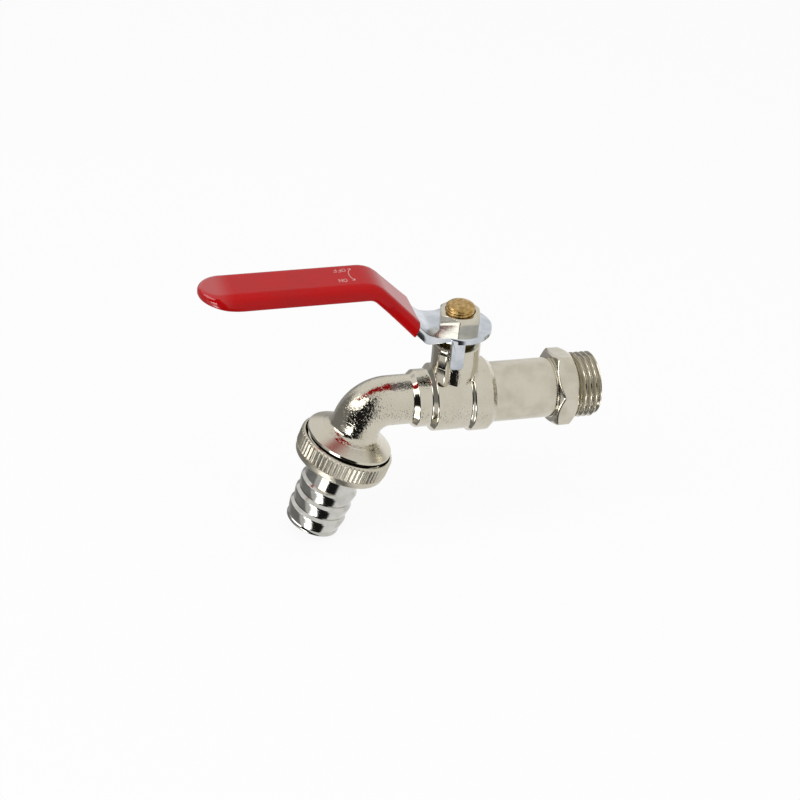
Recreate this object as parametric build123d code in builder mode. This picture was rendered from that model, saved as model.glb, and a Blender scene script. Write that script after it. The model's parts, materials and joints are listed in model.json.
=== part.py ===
"""Lever ball bib tap with a hose union: plated brass body, red lever, ribbed union nut and barbed hose tail."""
import os
from math import atan2, cos, radians, sin, sqrt, tan

from build123d import *

# Sizes in millimetres. The origin is the middle of the inlet thread where it meets the hex shoulder.
# +X points out of the inlet into the wall, +Z is up, and the stem stands on its own axis at stem_x.
stem_x = -38.8

# Ball and seats, which the chamber and the barrel round them follow.
ball_d = 15.0
ball_bore_d = 9.0
slot_width = 4.0
slot_depth = 2.5
chamber_room = 0.9
chamber_end = 0.5
seat_gap = 0.05
seat_wrap = 3.1
seat_step = 0.4
seat_room = 0.1
seat_end_gap = 0.02

# Inlet tail: standard half-inch pipe thread, drawn as a plain cylinder at its crest.
inlet_thread_d = 20.955
inlet_thread_length = 8.5
thread_lead_in = 0.9
hex_across = 22.5
hex_thick = 6.4
hex_turn = 15.5
hex_face_step = 0.05
hex_bevel = 1.2
inlet_bore_d = 13.0
nose_step = 0.5
tube_step = 0.7
socket_clearance = 0.05
socket_depth = 4.0

# Body seal in a groove round the nose of the inlet tail.
seal_section_d = 1.44
seal_inset = 1.8
seal_groove_width = 1.8
seal_gap = 0.03

# Body shoulders along the pipe axis: lengths, gaps and steps of radius.
spout_r = 7.85
barrel_wall = 2.35
ring_1_length = 2.4
ring_1_gap = 3.5
ring_1_drop = 1.65
ring_2_length = 1.9
ring_2_gap = 0.8
ring_3_start = 3.7
ring_3_length = 1.0
collar_step = 0.95
collar_bevel = 1.8
socket_lip = 1.3
edge_round = 0.35

# Neck, and the stop lug cast on its front left.
neck_wall = 1.8
neck_top = 19.9
neck_bevel = 0.4
lug_angle = -135.0
lug_width = 3.4
lug_sink = 1.0
lug_bite = 1.3
lug_foot = 0.9
lug_rise = 0.7
lug_slope = 1.6

# Stem, sealed in the neck by two rings and held in by its foot.
stem_r = 5.55
stem_clearance = 0.05
foot_step = 0.75
foot_clearance = 0.1
foot_gap = 0.05
foot_thick = 1.35
washer_thick = 0.75
washer_gap = 0.05
tang_slack = 0.1
tang_room = 0.2
tang_gap = 0.2
stem_ring_d = 1.5
stem_ring_inset = 2.0
stem_ring_pitch = 3.8
stem_ring_gap = 0.02
stem_groove_width = 1.9
flats_step = 0.1
flats_gap = 0.05
flats_drop = 0.15
stem_thread_r = 4.4
stem_stand = 1.5
stem_dome = 0.8
stem_dome_step = 1.6

# Lever: one steel stamping, flat at the hub, sloping up to a channel-shaped grip.
sheet = 2.0
plate_top = 26.35
tab_room = 0.8
slope_foot = -10.4
slope_head = -28.9
grip_top = 44.4
grip_drop = 0.9
lever_tip = -79.0
root_half = 8.9
root_end = -13.0
grip_start = -25.0
grip_half = 6.6
flange_depth = 3.9
slope_depth = 3.1
flange_foot = -12.4
flange_fade = -5.5
tip_depth = 1.6
tip_taper = 9.0
tip_bend = 25.0
hub_side = 0.0
arm_bend = 8.5
flange_bend = 3.0
hollow_low = 10.0
tab_angle = 108.4
tab_width = 4.3
tab_low = 15.5
tab_corner = 1.2

# Vinyl sleeve over the grip.
coat = 1.1
sleeve_foot = -16.0
sleeve_lean = 18.0
sleeve_round = 2.0

# Lever nut.
lever_nut_across = 12.0
lever_nut_height = 4.6
lever_nut_bevel = 0.8
lever_nut_turn = -16.4
nut_thread_gap = 0.05

# Outlet: its axis leaves the pipe axis at outlet_x and leans out_angle from straight down.
outlet_x = -27.6
out_angle = 19.0
elbow_r = 10.0
spout_bore_r = 5.6
skirt_end = 13.9
skirt_band = 0.5
skirt_flare = 3.4
skirt_root_margin = 0.05
skirt_round = 3.0
skirt_step = 0.68
spigot_d = 26.44
spigot_length = 4.55
mouth_r = 8.0
mouth_depth = 4.25

# Union nut, washer and hose tail on the outlet axis, stacked from the skirt and the spigot.
union_gap = 1.15
union_thread_gap = 0.33
union_wall = 1.65
union_bevel = 0.9
band_height = 2.6
band_round = 2.2
rib_count = 64
rib_groove_r = 0.45
rib_depth = 0.35
stack_gap = 0.05
hose_washer_thick = 1.45
hose_washer_room = 1.15
flange_thick = 1.5
flange_room = 1.35
lip_gap = 0.1
lip_thick = 1.6
lip_room = 0.4
tail_r = 8.7
tail_bore_r = 7.0
tail_plain = 8.8
barb_r = 9.4
barb_depth = 0.85
barb_pitch = 5.05
barb_count = 3
barb_rise = 0.9
barb_land = 0.6
barb_swell = 0.1
end_ring = 1.4
end_drop = 0.8
end_swell = 0.25

# Sizes that follow from the ones above: ball, seats and the body round them.
chamber_r = ball_d / 2 + chamber_room
chamber_half = ball_d / 2 + chamber_end
seat_face = ball_d / 2 - seat_wrap
seat_inner_r = ball_bore_d / 2 + seat_step
seat_outer_r = chamber_r - seat_room
cup_r = ball_d / 2 + seat_gap
cup_mouth_r = sqrt(cup_r**2 - seat_face**2)
cup_depth = sqrt(cup_r**2 - seat_inner_r**2)
bore_end = sqrt((ball_d / 2) ** 2 - (ball_bore_d / 2) ** 2)
socket_end = chamber_half + socket_depth
nose_d = 2 * (chamber_r + nose_step)
tube_d = nose_d + 2 * tube_step
nose_start = stem_x + chamber_half
tube_start = stem_x + socket_end
seal_mid = socket_end - seal_inset
seal_r = nose_d / 2 + socket_clearance - seal_gap - seal_section_d / 2
hex_face_r = hex_across / 2 + hex_face_step
barrel_r = chamber_r + barrel_wall
ring_1_r = barrel_r - ring_1_drop
collar_r = barrel_r + collar_step
socket_face_r = nose_d / 2 + socket_lip
ring_2_start = -chamber_half - ring_2_gap
ring_2_end = ring_2_start + ring_2_length
ring_1_end = ring_2_start - ring_1_gap
ring_1_start = ring_1_end - ring_1_length
ring_3_end = ring_3_start + ring_3_length
collar_end = socket_end - collar_bevel

# Stem, neck and lever.
neck_r = stem_r + stem_clearance + neck_wall
hub_r = neck_r + tab_room + sheet
lug_root = neck_r - lug_sink
lug_reach = neck_r + tab_room + lug_bite
lug_low = chamber_r - lug_foot
lug_top = neck_top + lug_rise
tang_low = ball_d / 2 - slot_depth + tang_gap
tang_r = seat_face - tang_room
tang_width = slot_width - 2 * tang_slack
foot_r = stem_r + foot_step
foot_low = chamber_r + foot_gap
foot_top = foot_low + foot_thick
foot_seat = foot_top + washer_thick + washer_gap
stem_ring_low = foot_seat + stem_ring_inset
stem_ring_high = stem_ring_low + stem_ring_pitch
stem_ring_r = stem_r + stem_clearance - stem_ring_gap - stem_ring_d / 2
stem_flats = 2 * (stem_thread_r + flats_step)
stem_flats_top = plate_top - flats_drop
stem_thread_top = plate_top + lever_nut_height + stem_stand
stem_dome_r = stem_thread_r - stem_dome_step
lever_nut_face_r = lever_nut_across / 2
slope_fall = (grip_top - plate_top) / (slope_foot - slope_head)
slope_stretch = sqrt(1 + slope_fall**2)
slope_pinch = (slope_stretch - 1) / slope_fall
grip_fall = grip_drop / (slope_head - lever_tip)
tip_top = grip_top - grip_drop

# Outlet, union and hose tail.
half_turn = (90 - out_angle) / 2
elbow_reach = elbow_r * tan(radians(half_turn))
skirt_r = spigot_d / 2 + skirt_step
skirt_rim = skirt_end - skirt_band
skirt_start = skirt_rim - skirt_flare
flare_turn = atan2(skirt_r - spout_r, skirt_flare)
skirt_root = skirt_round * tan(flare_turn / 2) + skirt_root_margin
spigot_end = skirt_end + spigot_length
mouth_start = spigot_end - mouth_depth
nut_bore_r = spigot_d / 2 + union_thread_gap
union_r = nut_bore_r + union_wall
band_r = union_r - rib_depth
hose_washer_r = nut_bore_r - hose_washer_room
hose_washer_top = spigot_end + stack_gap
hose_washer_low = hose_washer_top + hose_washer_thick
flange_r = nut_bore_r - flange_room
flange_top = hose_washer_low + stack_gap
flange_low = flange_top + flange_thick
lip_r = tail_r + lip_room
lip_top = flange_low + lip_gap
union_top = skirt_end + union_gap
union_low = lip_top + lip_thick
rib_end = union_low - band_height
barb_root_r = barb_r - barb_depth
barb_first = flange_low + tail_plain
barb_end = barb_first + barb_count * barb_pitch
tail_end = barb_end + end_ring
tail_end_r = barb_r - end_drop
clear_past = 40.0

# Working planes: side and out_side both lie in the tap's middle plane, one on the stem, one on the outlet.
lean = radians(out_angle)
outlet_mid = (stem_x + outlet_x, 0, 0)
outlet_way = (-sin(lean), 0, -cos(lean))
side = Plane(origin=(stem_x, 0, 0), x_dir=(1, 0, 0), z_dir=(0, -1, 0))
plan = Plane(origin=(stem_x, 0, 0))
out_side = Plane(origin=outlet_mid, x_dir=(cos(lean), 0, -sin(lean)), z_dir=(0, 1, 0))
inlet_face = Plane(origin=(0, 0, 0), x_dir=(0, 1, 0), z_dir=(1, 0, 0))
sleeve_cut = Plane(
    origin=(stem_x + sleeve_foot, 0, plate_top + slope_fall * (slope_foot - sleeve_foot)),
    z_dir=(cos(radians(sleeve_lean)), 0, -sin(radians(sleeve_lean))),
)
stem_axis = Axis((stem_x, 0, 0), (0, 0, 1))
outlet_axis = Axis(outlet_mid, outlet_way)


def around_stem(angle):
    """Upright plane through the stem axis, its local x pointing outward at the given angle."""
    turn = radians(angle)
    return Plane(origin=(stem_x, 0, 0), x_dir=(cos(turn), sin(turn), 0), z_dir=(sin(turn), -cos(turn), 0))


def across_outlet(distance):
    """Plane square to the outlet axis, at the given distance from the pipe axis."""
    middle = (outlet_mid[0] + distance * outlet_way[0], 0, distance * outlet_way[2])
    return Plane(origin=middle, x_dir=(cos(lean), 0, -sin(lean)), z_dir=outlet_way)


def spout_line(start, end):
    """Middle line of the spout in the side plane: along the pipe, round the elbow, down the outlet."""
    with BuildLine(side) as line:
        level = Line((start, 0), (outlet_x + elbow_reach, 0))
        bend = JernArc(level @ 1, level % 1, elbow_r, 90 - out_angle)
        down = (outlet_x - end * sin(lean), -end * cos(lean))
        Line(bend @ 1, side.from_local_coords((down[0], down[1], 0)))
    return line.line


# Body casting: ball chamber with its ringed shoulders, neck, stop lug, elbow, skirt and threaded spigot.
with BuildPart() as spout_body:
    with BuildSketch(side) as barrel_profile:
        with BuildLine():
            Polyline(
                (ring_1_start, 0),
                (ring_1_start, spout_r),
                (ring_1_end, ring_1_r),
                (ring_2_start, ring_1_r),
                (ring_2_end, barrel_r),
                (ring_3_start, barrel_r),
                (ring_3_end, collar_r),
                (collar_end, collar_r),
                (socket_end, socket_face_r),
                (socket_end, 0),
                close=True,
            )
        make_face()
        fillet(barrel_profile.vertices().filter_by(lambda v: v.Y > spout_r + edge_round), edge_round)
    revolve(axis=Axis.X)
    with BuildSketch(plan):
        Circle(neck_r)
    extrude(amount=neck_top)
    chamfer(spout_body.edges().group_by(Axis.Z)[-1], neck_bevel)
    with BuildSketch(around_stem(lug_angle)):
        with BuildLine():
            Polyline(
                (lug_root, lug_low),
                (lug_reach, lug_low),
                (lug_reach, lug_top - lug_slope),
                (lug_reach - lug_slope, lug_top),
                (lug_root, lug_top),
                close=True,
            )
        make_face()
    extrude(amount=lug_width / 2, both=True)
    with BuildSketch(Plane(origin=(stem_x + ring_2_start, 0, 0), z_dir=(-1, 0, 0))):
        Circle(spout_r)
    sweep(path=spout_line(ring_2_start, skirt_rim))
    with BuildSketch(out_side) as skirt_profile:
        with BuildLine():
            Polyline(
                (0, skirt_start - skirt_root),
                (spout_r, skirt_start - skirt_root),
                (spout_r, skirt_start),
                (skirt_r, skirt_rim),
                (skirt_r, skirt_end),
                (spigot_d / 2, skirt_end),
                (spigot_d / 2, spigot_end),
                (0, spigot_end),
                close=True,
            )
        make_face()
        elbow_foot = skirt_profile.vertices().filter_by_position(Axis.X, spout_r - edge_round, spout_r + edge_round)
        fillet(elbow_foot.sort_by(Axis.Y)[-1], skirt_round)
    revolve(axis=outlet_axis)
    with BuildSketch(side):
        with BuildLine():
            Polyline(
                (-chamber_half, 0),
                (-chamber_half, chamber_r),
                (chamber_half, chamber_r),
                (chamber_half, nose_d / 2 + socket_clearance),
                (socket_end, nose_d / 2 + socket_clearance),
                (socket_end, 0),
                close=True,
            )
        make_face()
    revolve(axis=Axis.X, mode=Mode.SUBTRACT)
    with BuildSketch(side):
        with BuildLine():
            Polyline(
                (0, 0),
                (foot_r + foot_clearance, 0),
                (foot_r + foot_clearance, foot_seat),
                (stem_r + stem_clearance, foot_seat),
                (stem_r + stem_clearance, neck_top),
                (0, neck_top),
                close=True,
            )
        make_face()
    revolve(axis=stem_axis, mode=Mode.SUBTRACT)
    with BuildSketch(Plane(origin=(stem_x - chamber_half, 0, 0), z_dir=(-1, 0, 0))):
        Circle(spout_bore_r)
    sweep(path=spout_line(-chamber_half, spigot_end), mode=Mode.SUBTRACT)
    with BuildSketch(out_side):
        with Locations((mouth_r / 2, (mouth_start + spigot_end) / 2)):
            Rectangle(mouth_r, spigot_end - mouth_start)
    revolve(axis=outlet_axis, mode=Mode.SUBTRACT)

# Inlet tail, turned from hex bar: nose inside the body, tube, hex shoulder and wall thread.
with BuildPart() as inlet_tail:
    with BuildSketch(inlet_face):
        RegularPolygon(hex_across / 2, 6, major_radius=False, rotation=-hex_turn)
    extrude(amount=-hex_thick)
    with BuildSketch(Plane.XZ):
        with BuildLine():
            Polyline(
                (-hex_thick, 0),
                (-hex_thick, hex_face_r),
                (-hex_thick + hex_bevel, hex_across / sqrt(3)),
                (-hex_bevel, hex_across / sqrt(3)),
                (0, hex_face_r),
                (0, 0),
                close=True,
            )
        make_face()
    revolve(axis=Axis.X, mode=Mode.INTERSECT)
    with BuildSketch(Plane.XZ):
        with BuildLine():
            Polyline(
                (nose_start, 0),
                (nose_start, nose_d / 2),
                (tube_start, nose_d / 2),
                (tube_start, tube_d / 2),
                (-hex_thick / 2, tube_d / 2),
                (-hex_thick / 2, inlet_thread_d / 2),
                (inlet_thread_length - thread_lead_in, inlet_thread_d / 2),
                (inlet_thread_length, inlet_thread_d / 2 - thread_lead_in),
                (inlet_thread_length, 0),
                close=True,
            )
        make_face()
    revolve(axis=Axis.X)
    with BuildSketch(Plane.XZ):
        with Locations((stem_x + seal_mid, seal_r)):
            Rectangle(seal_groove_width, seal_section_d, align=(Align.CENTER, Align.CENTER))
        with Locations((stem_x + seal_mid, seal_r)):
            Rectangle(seal_groove_width, seal_section_d, align=(Align.CENTER, Align.MIN))
    revolve(axis=Axis.X, mode=Mode.SUBTRACT)
    with BuildSketch(inlet_face):
        Circle(inlet_bore_d / 2)
    extrude(amount=clear_past, both=True, mode=Mode.SUBTRACT)

# Seal ring between the nose and the body socket.
with BuildPart() as body_seal:
    with Locations(Location((stem_x + seal_mid, 0, 0), (0, 90, 0))):
        Torus(seal_r, seal_section_d / 2)

# Ball, bored along the pipe with a slot across its top for the stem's tang.
with BuildPart() as ball:
    with BuildSketch(side):
        with BuildLine():
            bore = Line((bore_end, ball_bore_d / 2), (-bore_end, ball_bore_d / 2))
            ThreePointArc(bore @ 1, (0, ball_d / 2), bore @ 0)
        make_face()
    revolve(axis=Axis.X)
    with Locations((stem_x, 0, ball_d / 2 - slot_depth)):
        Box(slot_width, ball_d, ball_d, align=(Align.CENTER, Align.CENTER, Align.MIN), mode=Mode.SUBTRACT)

# Two seat rings that cup the ball, one the mirror of the other.
with BuildPart() as spout_seat:
    with BuildSketch(side):
        with BuildLine():
            back = Polyline(
                (-cup_depth, seat_inner_r),
                (-chamber_half + seat_end_gap, seat_inner_r),
                (-chamber_half + seat_end_gap, seat_outer_r),
                (-seat_face, seat_outer_r),
                (-seat_face, cup_mouth_r),
            )
            RadiusArc(back @ 1, back @ 0, -cup_r)
        make_face()
    revolve(axis=Axis.X)

with BuildPart() as inlet_seat:
    mirror(spout_seat.part, about=Plane(origin=(stem_x, 0, 0), z_dir=(1, 0, 0)))

# Stem: tang, foot, sealed shank, two flats for the lever and a domed threaded end.
with BuildPart() as stem:
    with BuildSketch(side):
        with BuildLine():
            Polyline(
                (0, foot_low),
                (foot_r, foot_low),
                (foot_r, foot_top),
                (stem_r, foot_top),
                (stem_r, stem_flats_top),
                (0, stem_flats_top),
                close=True,
            )
        make_face()
    revolve(axis=stem_axis)
    with BuildSketch(side):
        for ring_z in (stem_ring_low, stem_ring_high):
            with Locations((stem_ring_r - stem_ring_d / 2, ring_z)):
                Rectangle(2 * stem_ring_d, stem_groove_width, align=(Align.MIN, Align.CENTER))
    revolve(axis=stem_axis, mode=Mode.SUBTRACT)
    with BuildSketch(plan.offset(plate_top - sheet)):
        Circle(2 * stem_r)
        Rectangle(4 * stem_r, stem_flats, mode=Mode.SUBTRACT)
    extrude(amount=sheet, mode=Mode.SUBTRACT)
    with BuildSketch(side):
        with BuildLine():
            Polyline(
                (0, stem_flats_top),
                (stem_thread_r, stem_flats_top),
                (stem_thread_r, stem_thread_top),
                (stem_dome_r, stem_thread_top + stem_dome),
                (0, stem_thread_top + stem_dome),
                close=True,
            )
        make_face()
    revolve(axis=stem_axis)
    with BuildSketch(plan.offset(tang_low)):
        Circle(tang_r)
        Rectangle(tang_width, 2 * tang_r, mode=Mode.INTERSECT)
    extrude(amount=foot_low - tang_low)

# Washer between the stem's foot and its seat in the neck.
with BuildPart() as thrust_washer:
    with BuildSketch(plan.offset(foot_top)):
        Circle(foot_r)
        Circle(stem_r + stem_clearance, mode=Mode.SUBTRACT)
    extrude(amount=washer_thick)

# Two seal rings in the stem's grooves.
with BuildPart() as lower_stem_ring:
    with Locations((stem_x, 0, stem_ring_low)):
        Torus(stem_ring_r, stem_ring_d / 2)

with BuildPart() as upper_stem_ring:
    with Locations((stem_x, 0, stem_ring_high)):
        Torus(stem_ring_r, stem_ring_d / 2)


def lever_side(skin, low, bends):
    """Side outline of the lever's arm: top line moved outward by skin, closed by the line low with its bends."""
    shift = skin * slope_pinch
    with BuildSketch(side) as outline:
        with BuildLine():
            top = FilletPolyline(
                (hub_side, plate_top + skin),
                (slope_foot + shift, plate_top + skin),
                (slope_head + shift, grip_top + skin),
                (lever_tip - skin, grip_top - grip_drop + skin),
                radius=arm_bend + skin,
            )
            below = FilletPolyline(*low, radius=bends)
            Line(top @ 1, below @ 0)
            Line(below @ 1, top @ 0)
        make_face()
    return outline.sketch


def lever_plan(skin):
    """Plan outline of the lever's arm with a round tip, grown outward by skin."""
    with BuildSketch(plan) as outline:
        with BuildLine():
            edge = Polyline(
                (lever_tip + grip_half, grip_half + skin),
                (grip_start, grip_half + skin),
                (root_end, root_half + skin),
                (hub_side, root_half + skin),
                (hub_side, -root_half - skin),
                (root_end, -root_half - skin),
                (grip_start, -grip_half - skin),
                (lever_tip + grip_half, -grip_half - skin),
            )
            ThreePointArc(edge @ 1, (lever_tip - skin, 0), edge @ 0)
        make_face()
    return outline.sketch


flange_line = (
    (lever_tip, tip_top - tip_depth),
    (lever_tip + tip_taper, tip_top + grip_fall * tip_taper - flange_depth),
    (slope_head + (flange_depth - slope_depth * slope_stretch) / slope_fall, grip_top - flange_depth),
    (flange_foot, plate_top + slope_fall * (slope_foot - flange_foot) - slope_depth * slope_stretch),
    (flange_fade, plate_top - sheet),
    (hub_side, plate_top - sheet),
)
flange_bends = (tip_bend, flange_bend, flange_bend, flange_bend)
sleeve_line = (
    (lever_tip - coat, tip_top - tip_depth),
    *flange_line[1:],
)
hollow_line = (
    (lever_tip + sheet, hollow_low),
    (slope_head, 0),
    (hub_side, hollow_low),
)

# Blank of the lever's arm, solid under its skin: the sleeve fits round it and the lever is hollowed from it.
with BuildPart() as arm_blank:
    extrude(lever_side(0, flange_line, flange_bends), amount=clear_past, both=True)
    extrude(lever_plan(0), amount=2 * clear_past, mode=Mode.INTERSECT)

# Space under the sheet, between the two flanges.
with BuildPart() as arm_hollow:
    extrude(lever_side(-sheet, hollow_line, flange_bend), amount=clear_past, both=True)
    extrude(lever_plan(-sheet), amount=2 * clear_past, mode=Mode.INTERSECT)

# Lever: arm, round hub with a two-flat hole, and a stop tab bent down on each side.
with BuildPart() as lever:
    add(arm_blank.part)
    add(arm_hollow.part, mode=Mode.SUBTRACT)
    with BuildSketch(plan.offset(plate_top - sheet)):
        Circle(hub_r)
    extrude(amount=sheet)
    for angle in (tab_angle, -tab_angle):
        tab_plane = around_stem(angle).offset(tab_width / 2)
        with BuildSketch(tab_plane):
            with Locations((hub_r, tab_low)):
                Rectangle(sheet, plate_top - tab_low, align=(Align.MAX, Align.MIN))
        extrude(amount=-tab_width)
    tab_feet = lever.faces().sort_by(Axis.Z)[:2]
    fillet(tab_feet.edges().filter_by(lambda edge: edge.length < (sheet + tab_width) / 2), tab_corner)
    with BuildSketch(plan.offset(plate_top - sheet)):
        Circle(stem_r + flats_gap)
        Rectangle(4 * stem_r, stem_flats + 2 * flats_gap, mode=Mode.INTERSECT)
    extrude(amount=sheet, mode=Mode.SUBTRACT)

# Vinyl sleeve over the arm, closed at the tip and open below.
with BuildPart() as grip_sleeve:
    extrude(lever_side(coat, sleeve_line, flange_bends), amount=clear_past, both=True)
    extrude(lever_plan(coat), amount=2 * clear_past, mode=Mode.INTERSECT)
    split(bisect_by=sleeve_cut, keep=Keep.BOTTOM)
    upper = grip_sleeve.faces().filter_by(lambda f: f.normal_at().Z > 0.5)
    walls = grip_sleeve.faces().filter_by(lambda f: abs(f.normal_at().Z) < 0.1 and f.normal_at().X < 0.9)
    fillet([edge for edge in upper.edges() if edge in walls.edges()], sleeve_round)
    add(arm_blank.part, mode=Mode.SUBTRACT)

# Nut that clamps the lever to the stem.
with BuildPart() as lever_nut:
    with BuildSketch(plan.offset(plate_top)):
        RegularPolygon(lever_nut_across / 2, 6, major_radius=False, rotation=lever_nut_turn - 90)
    extrude(amount=lever_nut_height)
    with BuildSketch(side):
        with BuildLine():
            Polyline(
                (0, plate_top),
                (lever_nut_across / sqrt(3), plate_top),
                (lever_nut_across / sqrt(3), plate_top + lever_nut_height - lever_nut_bevel),
                (lever_nut_face_r, plate_top + lever_nut_height),
                (0, plate_top + lever_nut_height),
                close=True,
            )
        make_face()
    revolve(axis=stem_axis, mode=Mode.INTERSECT)
    with Locations((stem_x, 0, plate_top)):
        Cylinder(
            stem_thread_r + nut_thread_gap,
            lever_nut_height,
            align=(Align.CENTER, Align.CENTER, Align.MIN),
            mode=Mode.SUBTRACT,
        )

# Union nut: turns on the hose tail's flange and screws up the spigot, ribbed for the hand above a round band.
with BuildPart() as union_nut:
    with BuildSketch(out_side) as nut_profile:
        with BuildLine():
            Polyline(
                (nut_bore_r, union_top),
                (union_r - union_bevel, union_top),
                (union_r, union_top + union_bevel),
                (union_r, rib_end),
                (band_r, rib_end),
                (band_r, union_low),
                (lip_r, union_low),
                (lip_r, lip_top),
                (nut_bore_r, lip_top),
                close=True,
            )
        make_face()
        fillet(nut_profile.vertices().filter_by(lambda v: v.X > nut_bore_r and v.Y > lip_top), band_round)
    revolve(axis=outlet_axis)
    with BuildSketch(across_outlet(union_top)):
        with PolarLocations(union_r, rib_count):
            Circle(rib_groove_r)
    extrude(amount=rib_end - union_top, mode=Mode.SUBTRACT)

# Flat washer between the spigot and the hose tail.
with BuildPart() as hose_washer:
    with BuildSketch(out_side):
        with Locations((mouth_r, hose_washer_top)):
            Rectangle(
                hose_washer_r - mouth_r,
                hose_washer_low - hose_washer_top,
                align=(Align.MIN, Align.MIN),
            )
    revolve(axis=outlet_axis)

# Hose tail: flange inside the nut, plain barrel and barbs that swell down from narrow crest lands.
with BuildPart() as hose_tail:
    with BuildSketch(out_side):
        with BuildLine():
            Polyline(
                (tail_bore_r, flange_top),
                (flange_r, flange_top),
                (flange_r, flange_low),
                (tail_r, flange_low),
                (barb_root_r, barb_first),
            )
            for barb in range(barb_count):
                root = barb_first + barb * barb_pitch
                land = root + barb_rise
                Polyline((barb_root_r, root), (barb_r, land), (barb_r, land + barb_land))
                SagittaArc((barb_r, land + barb_land), (barb_root_r, root + barb_pitch), -barb_swell)
            SagittaArc((barb_root_r, barb_end), (tail_end_r, tail_end), -end_swell)
            Polyline(
                (tail_end_r, tail_end),
                (tail_bore_r, tail_end),
                (tail_bore_r, flange_top),
            )
        make_face()
    revolve(axis=outlet_axis)

os.makedirs("parts", exist_ok=True)
for name, piece in (
    ("spout_body", spout_body),
    ("inlet_tail", inlet_tail),
    ("body_seal", body_seal),
    ("ball", ball),
    ("spout_seat", spout_seat),
    ("inlet_seat", inlet_seat),
    ("stem", stem),
    ("thrust_washer", thrust_washer),
    ("lower_stem_ring", lower_stem_ring),
    ("upper_stem_ring", upper_stem_ring),
    ("lever", lever),
    ("grip_sleeve", grip_sleeve),
    ("lever_nut", lever_nut),
    ("union_nut", union_nut),
    ("hose_washer", hose_washer),
    ("hose_tail", hose_tail),
):
    piece.part.label = name
    export_step(piece.part, f"parts/{name}.step")
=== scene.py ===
# %% [markdown]
# This lesson dresses a lever ball bib tap. Its solids come packed from CAD, in metres and already in place, and
# nothing here moves them. The visible pieces are made again as fine surfaces worked out with numpy, because a plated
# casting is judged by its reflections, and these need rounded edges and an even mesh. Hidden seals keep their solids
# and get a finish of their own.

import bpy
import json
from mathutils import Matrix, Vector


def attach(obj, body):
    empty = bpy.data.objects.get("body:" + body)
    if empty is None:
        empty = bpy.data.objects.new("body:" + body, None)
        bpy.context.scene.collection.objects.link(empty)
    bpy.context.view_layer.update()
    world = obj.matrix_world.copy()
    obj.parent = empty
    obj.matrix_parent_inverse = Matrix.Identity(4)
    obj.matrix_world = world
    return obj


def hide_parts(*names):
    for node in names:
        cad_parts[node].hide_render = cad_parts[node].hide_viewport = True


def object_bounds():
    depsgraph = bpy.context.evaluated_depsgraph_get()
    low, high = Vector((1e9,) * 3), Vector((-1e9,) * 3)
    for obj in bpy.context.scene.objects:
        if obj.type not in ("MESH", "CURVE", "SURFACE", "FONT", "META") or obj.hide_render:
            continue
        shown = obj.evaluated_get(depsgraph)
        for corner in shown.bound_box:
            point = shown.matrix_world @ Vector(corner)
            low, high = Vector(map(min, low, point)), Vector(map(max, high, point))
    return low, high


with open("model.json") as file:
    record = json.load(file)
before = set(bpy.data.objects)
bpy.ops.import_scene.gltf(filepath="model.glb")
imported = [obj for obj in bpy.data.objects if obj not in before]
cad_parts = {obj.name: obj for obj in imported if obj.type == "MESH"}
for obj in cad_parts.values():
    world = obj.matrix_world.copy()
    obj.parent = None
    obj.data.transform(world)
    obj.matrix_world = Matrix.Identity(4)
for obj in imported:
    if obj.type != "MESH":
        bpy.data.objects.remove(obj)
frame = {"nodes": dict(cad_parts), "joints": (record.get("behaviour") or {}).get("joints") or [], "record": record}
cad_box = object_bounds()

# %% [markdown]
# The sizes are in millimetres, as on a maker's drawing, and are turned into metres only when a mesh is made. The two
# axes that matter, the stem and the outlet, are read from the joints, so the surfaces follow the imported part. The ends
# and radii of the turned pieces are measured on their solids.

# %% Measure the axes and the turned pieces
import json
import math

import bmesh
import bpy
import numpy as np
from mathutils import Matrix, Vector

MM = 0.001
joints = {joint["name"]: joint for joint in frame["joints"]}
stem_x = joints["lever_turn"]["pos_m"][0] / MM
stem_mid = np.array((stem_x, 0.0, 0.0))
outlet_mid = np.array(joints["union_turn"]["pos_m"]) / MM
outlet_way = np.array(joints["union_turn"]["axis"])
lean = math.atan2(-outlet_way[0], -outlet_way[2])
outlet_across = np.array((math.cos(lean), 0.0, -math.sin(lean)))
ALONG_X, ALONG_Y, ALONG_Z = np.eye(3)


def solid_points(node):
    """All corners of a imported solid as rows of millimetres."""
    mesh = frame["nodes"][node].data
    flat = np.empty(3 * len(mesh.vertices), np.float32)
    mesh.vertices.foreach_get("co", flat)
    return flat.reshape(-1, 3) / MM


def reach_along(node, middle, way):
    """Start, end and largest radius of a solid about an axis: dot product with the axis, and what is left of it."""
    offset = solid_points(node) - middle
    along = offset @ way
    radius = np.linalg.norm(offset - along[:, None] * way, axis=1)
    return float(along.min()), float(along.max()), float(radius.max())


union_top, union_low, union_r = reach_along("union_nut", outlet_mid, outlet_way)
flange_top, tail_end, flange_r = reach_along("hose_tail", outlet_mid, outlet_way)
spigot_end = reach_along("spout_body", outlet_mid, outlet_way)[1]
nose_start, inlet_end, hex_corner_r = reach_along("inlet_tail", np.zeros(3), ALONG_X)
print(f"union nut {union_top:.2f}..{union_low:.2f} mm, tail ends at {tail_end:.2f}, inlet ends at {inlet_end:.2f}")

# %% [markdown]
# Every new surface is a grid: rows run along a profile, columns run round an axis or along a path. A closed direction
# joins its last line to its first, so no seam opens. A row that shrinks to one point is a pole, and merging the points
# that coincide closes it. The signed volume of the grid tells whether its faces point outwards, and turns them if not.

# %% Helpers that turn grids into pieces
SHARP_ANGLE = math.radians(33)
WELD = 1e-7


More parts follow.
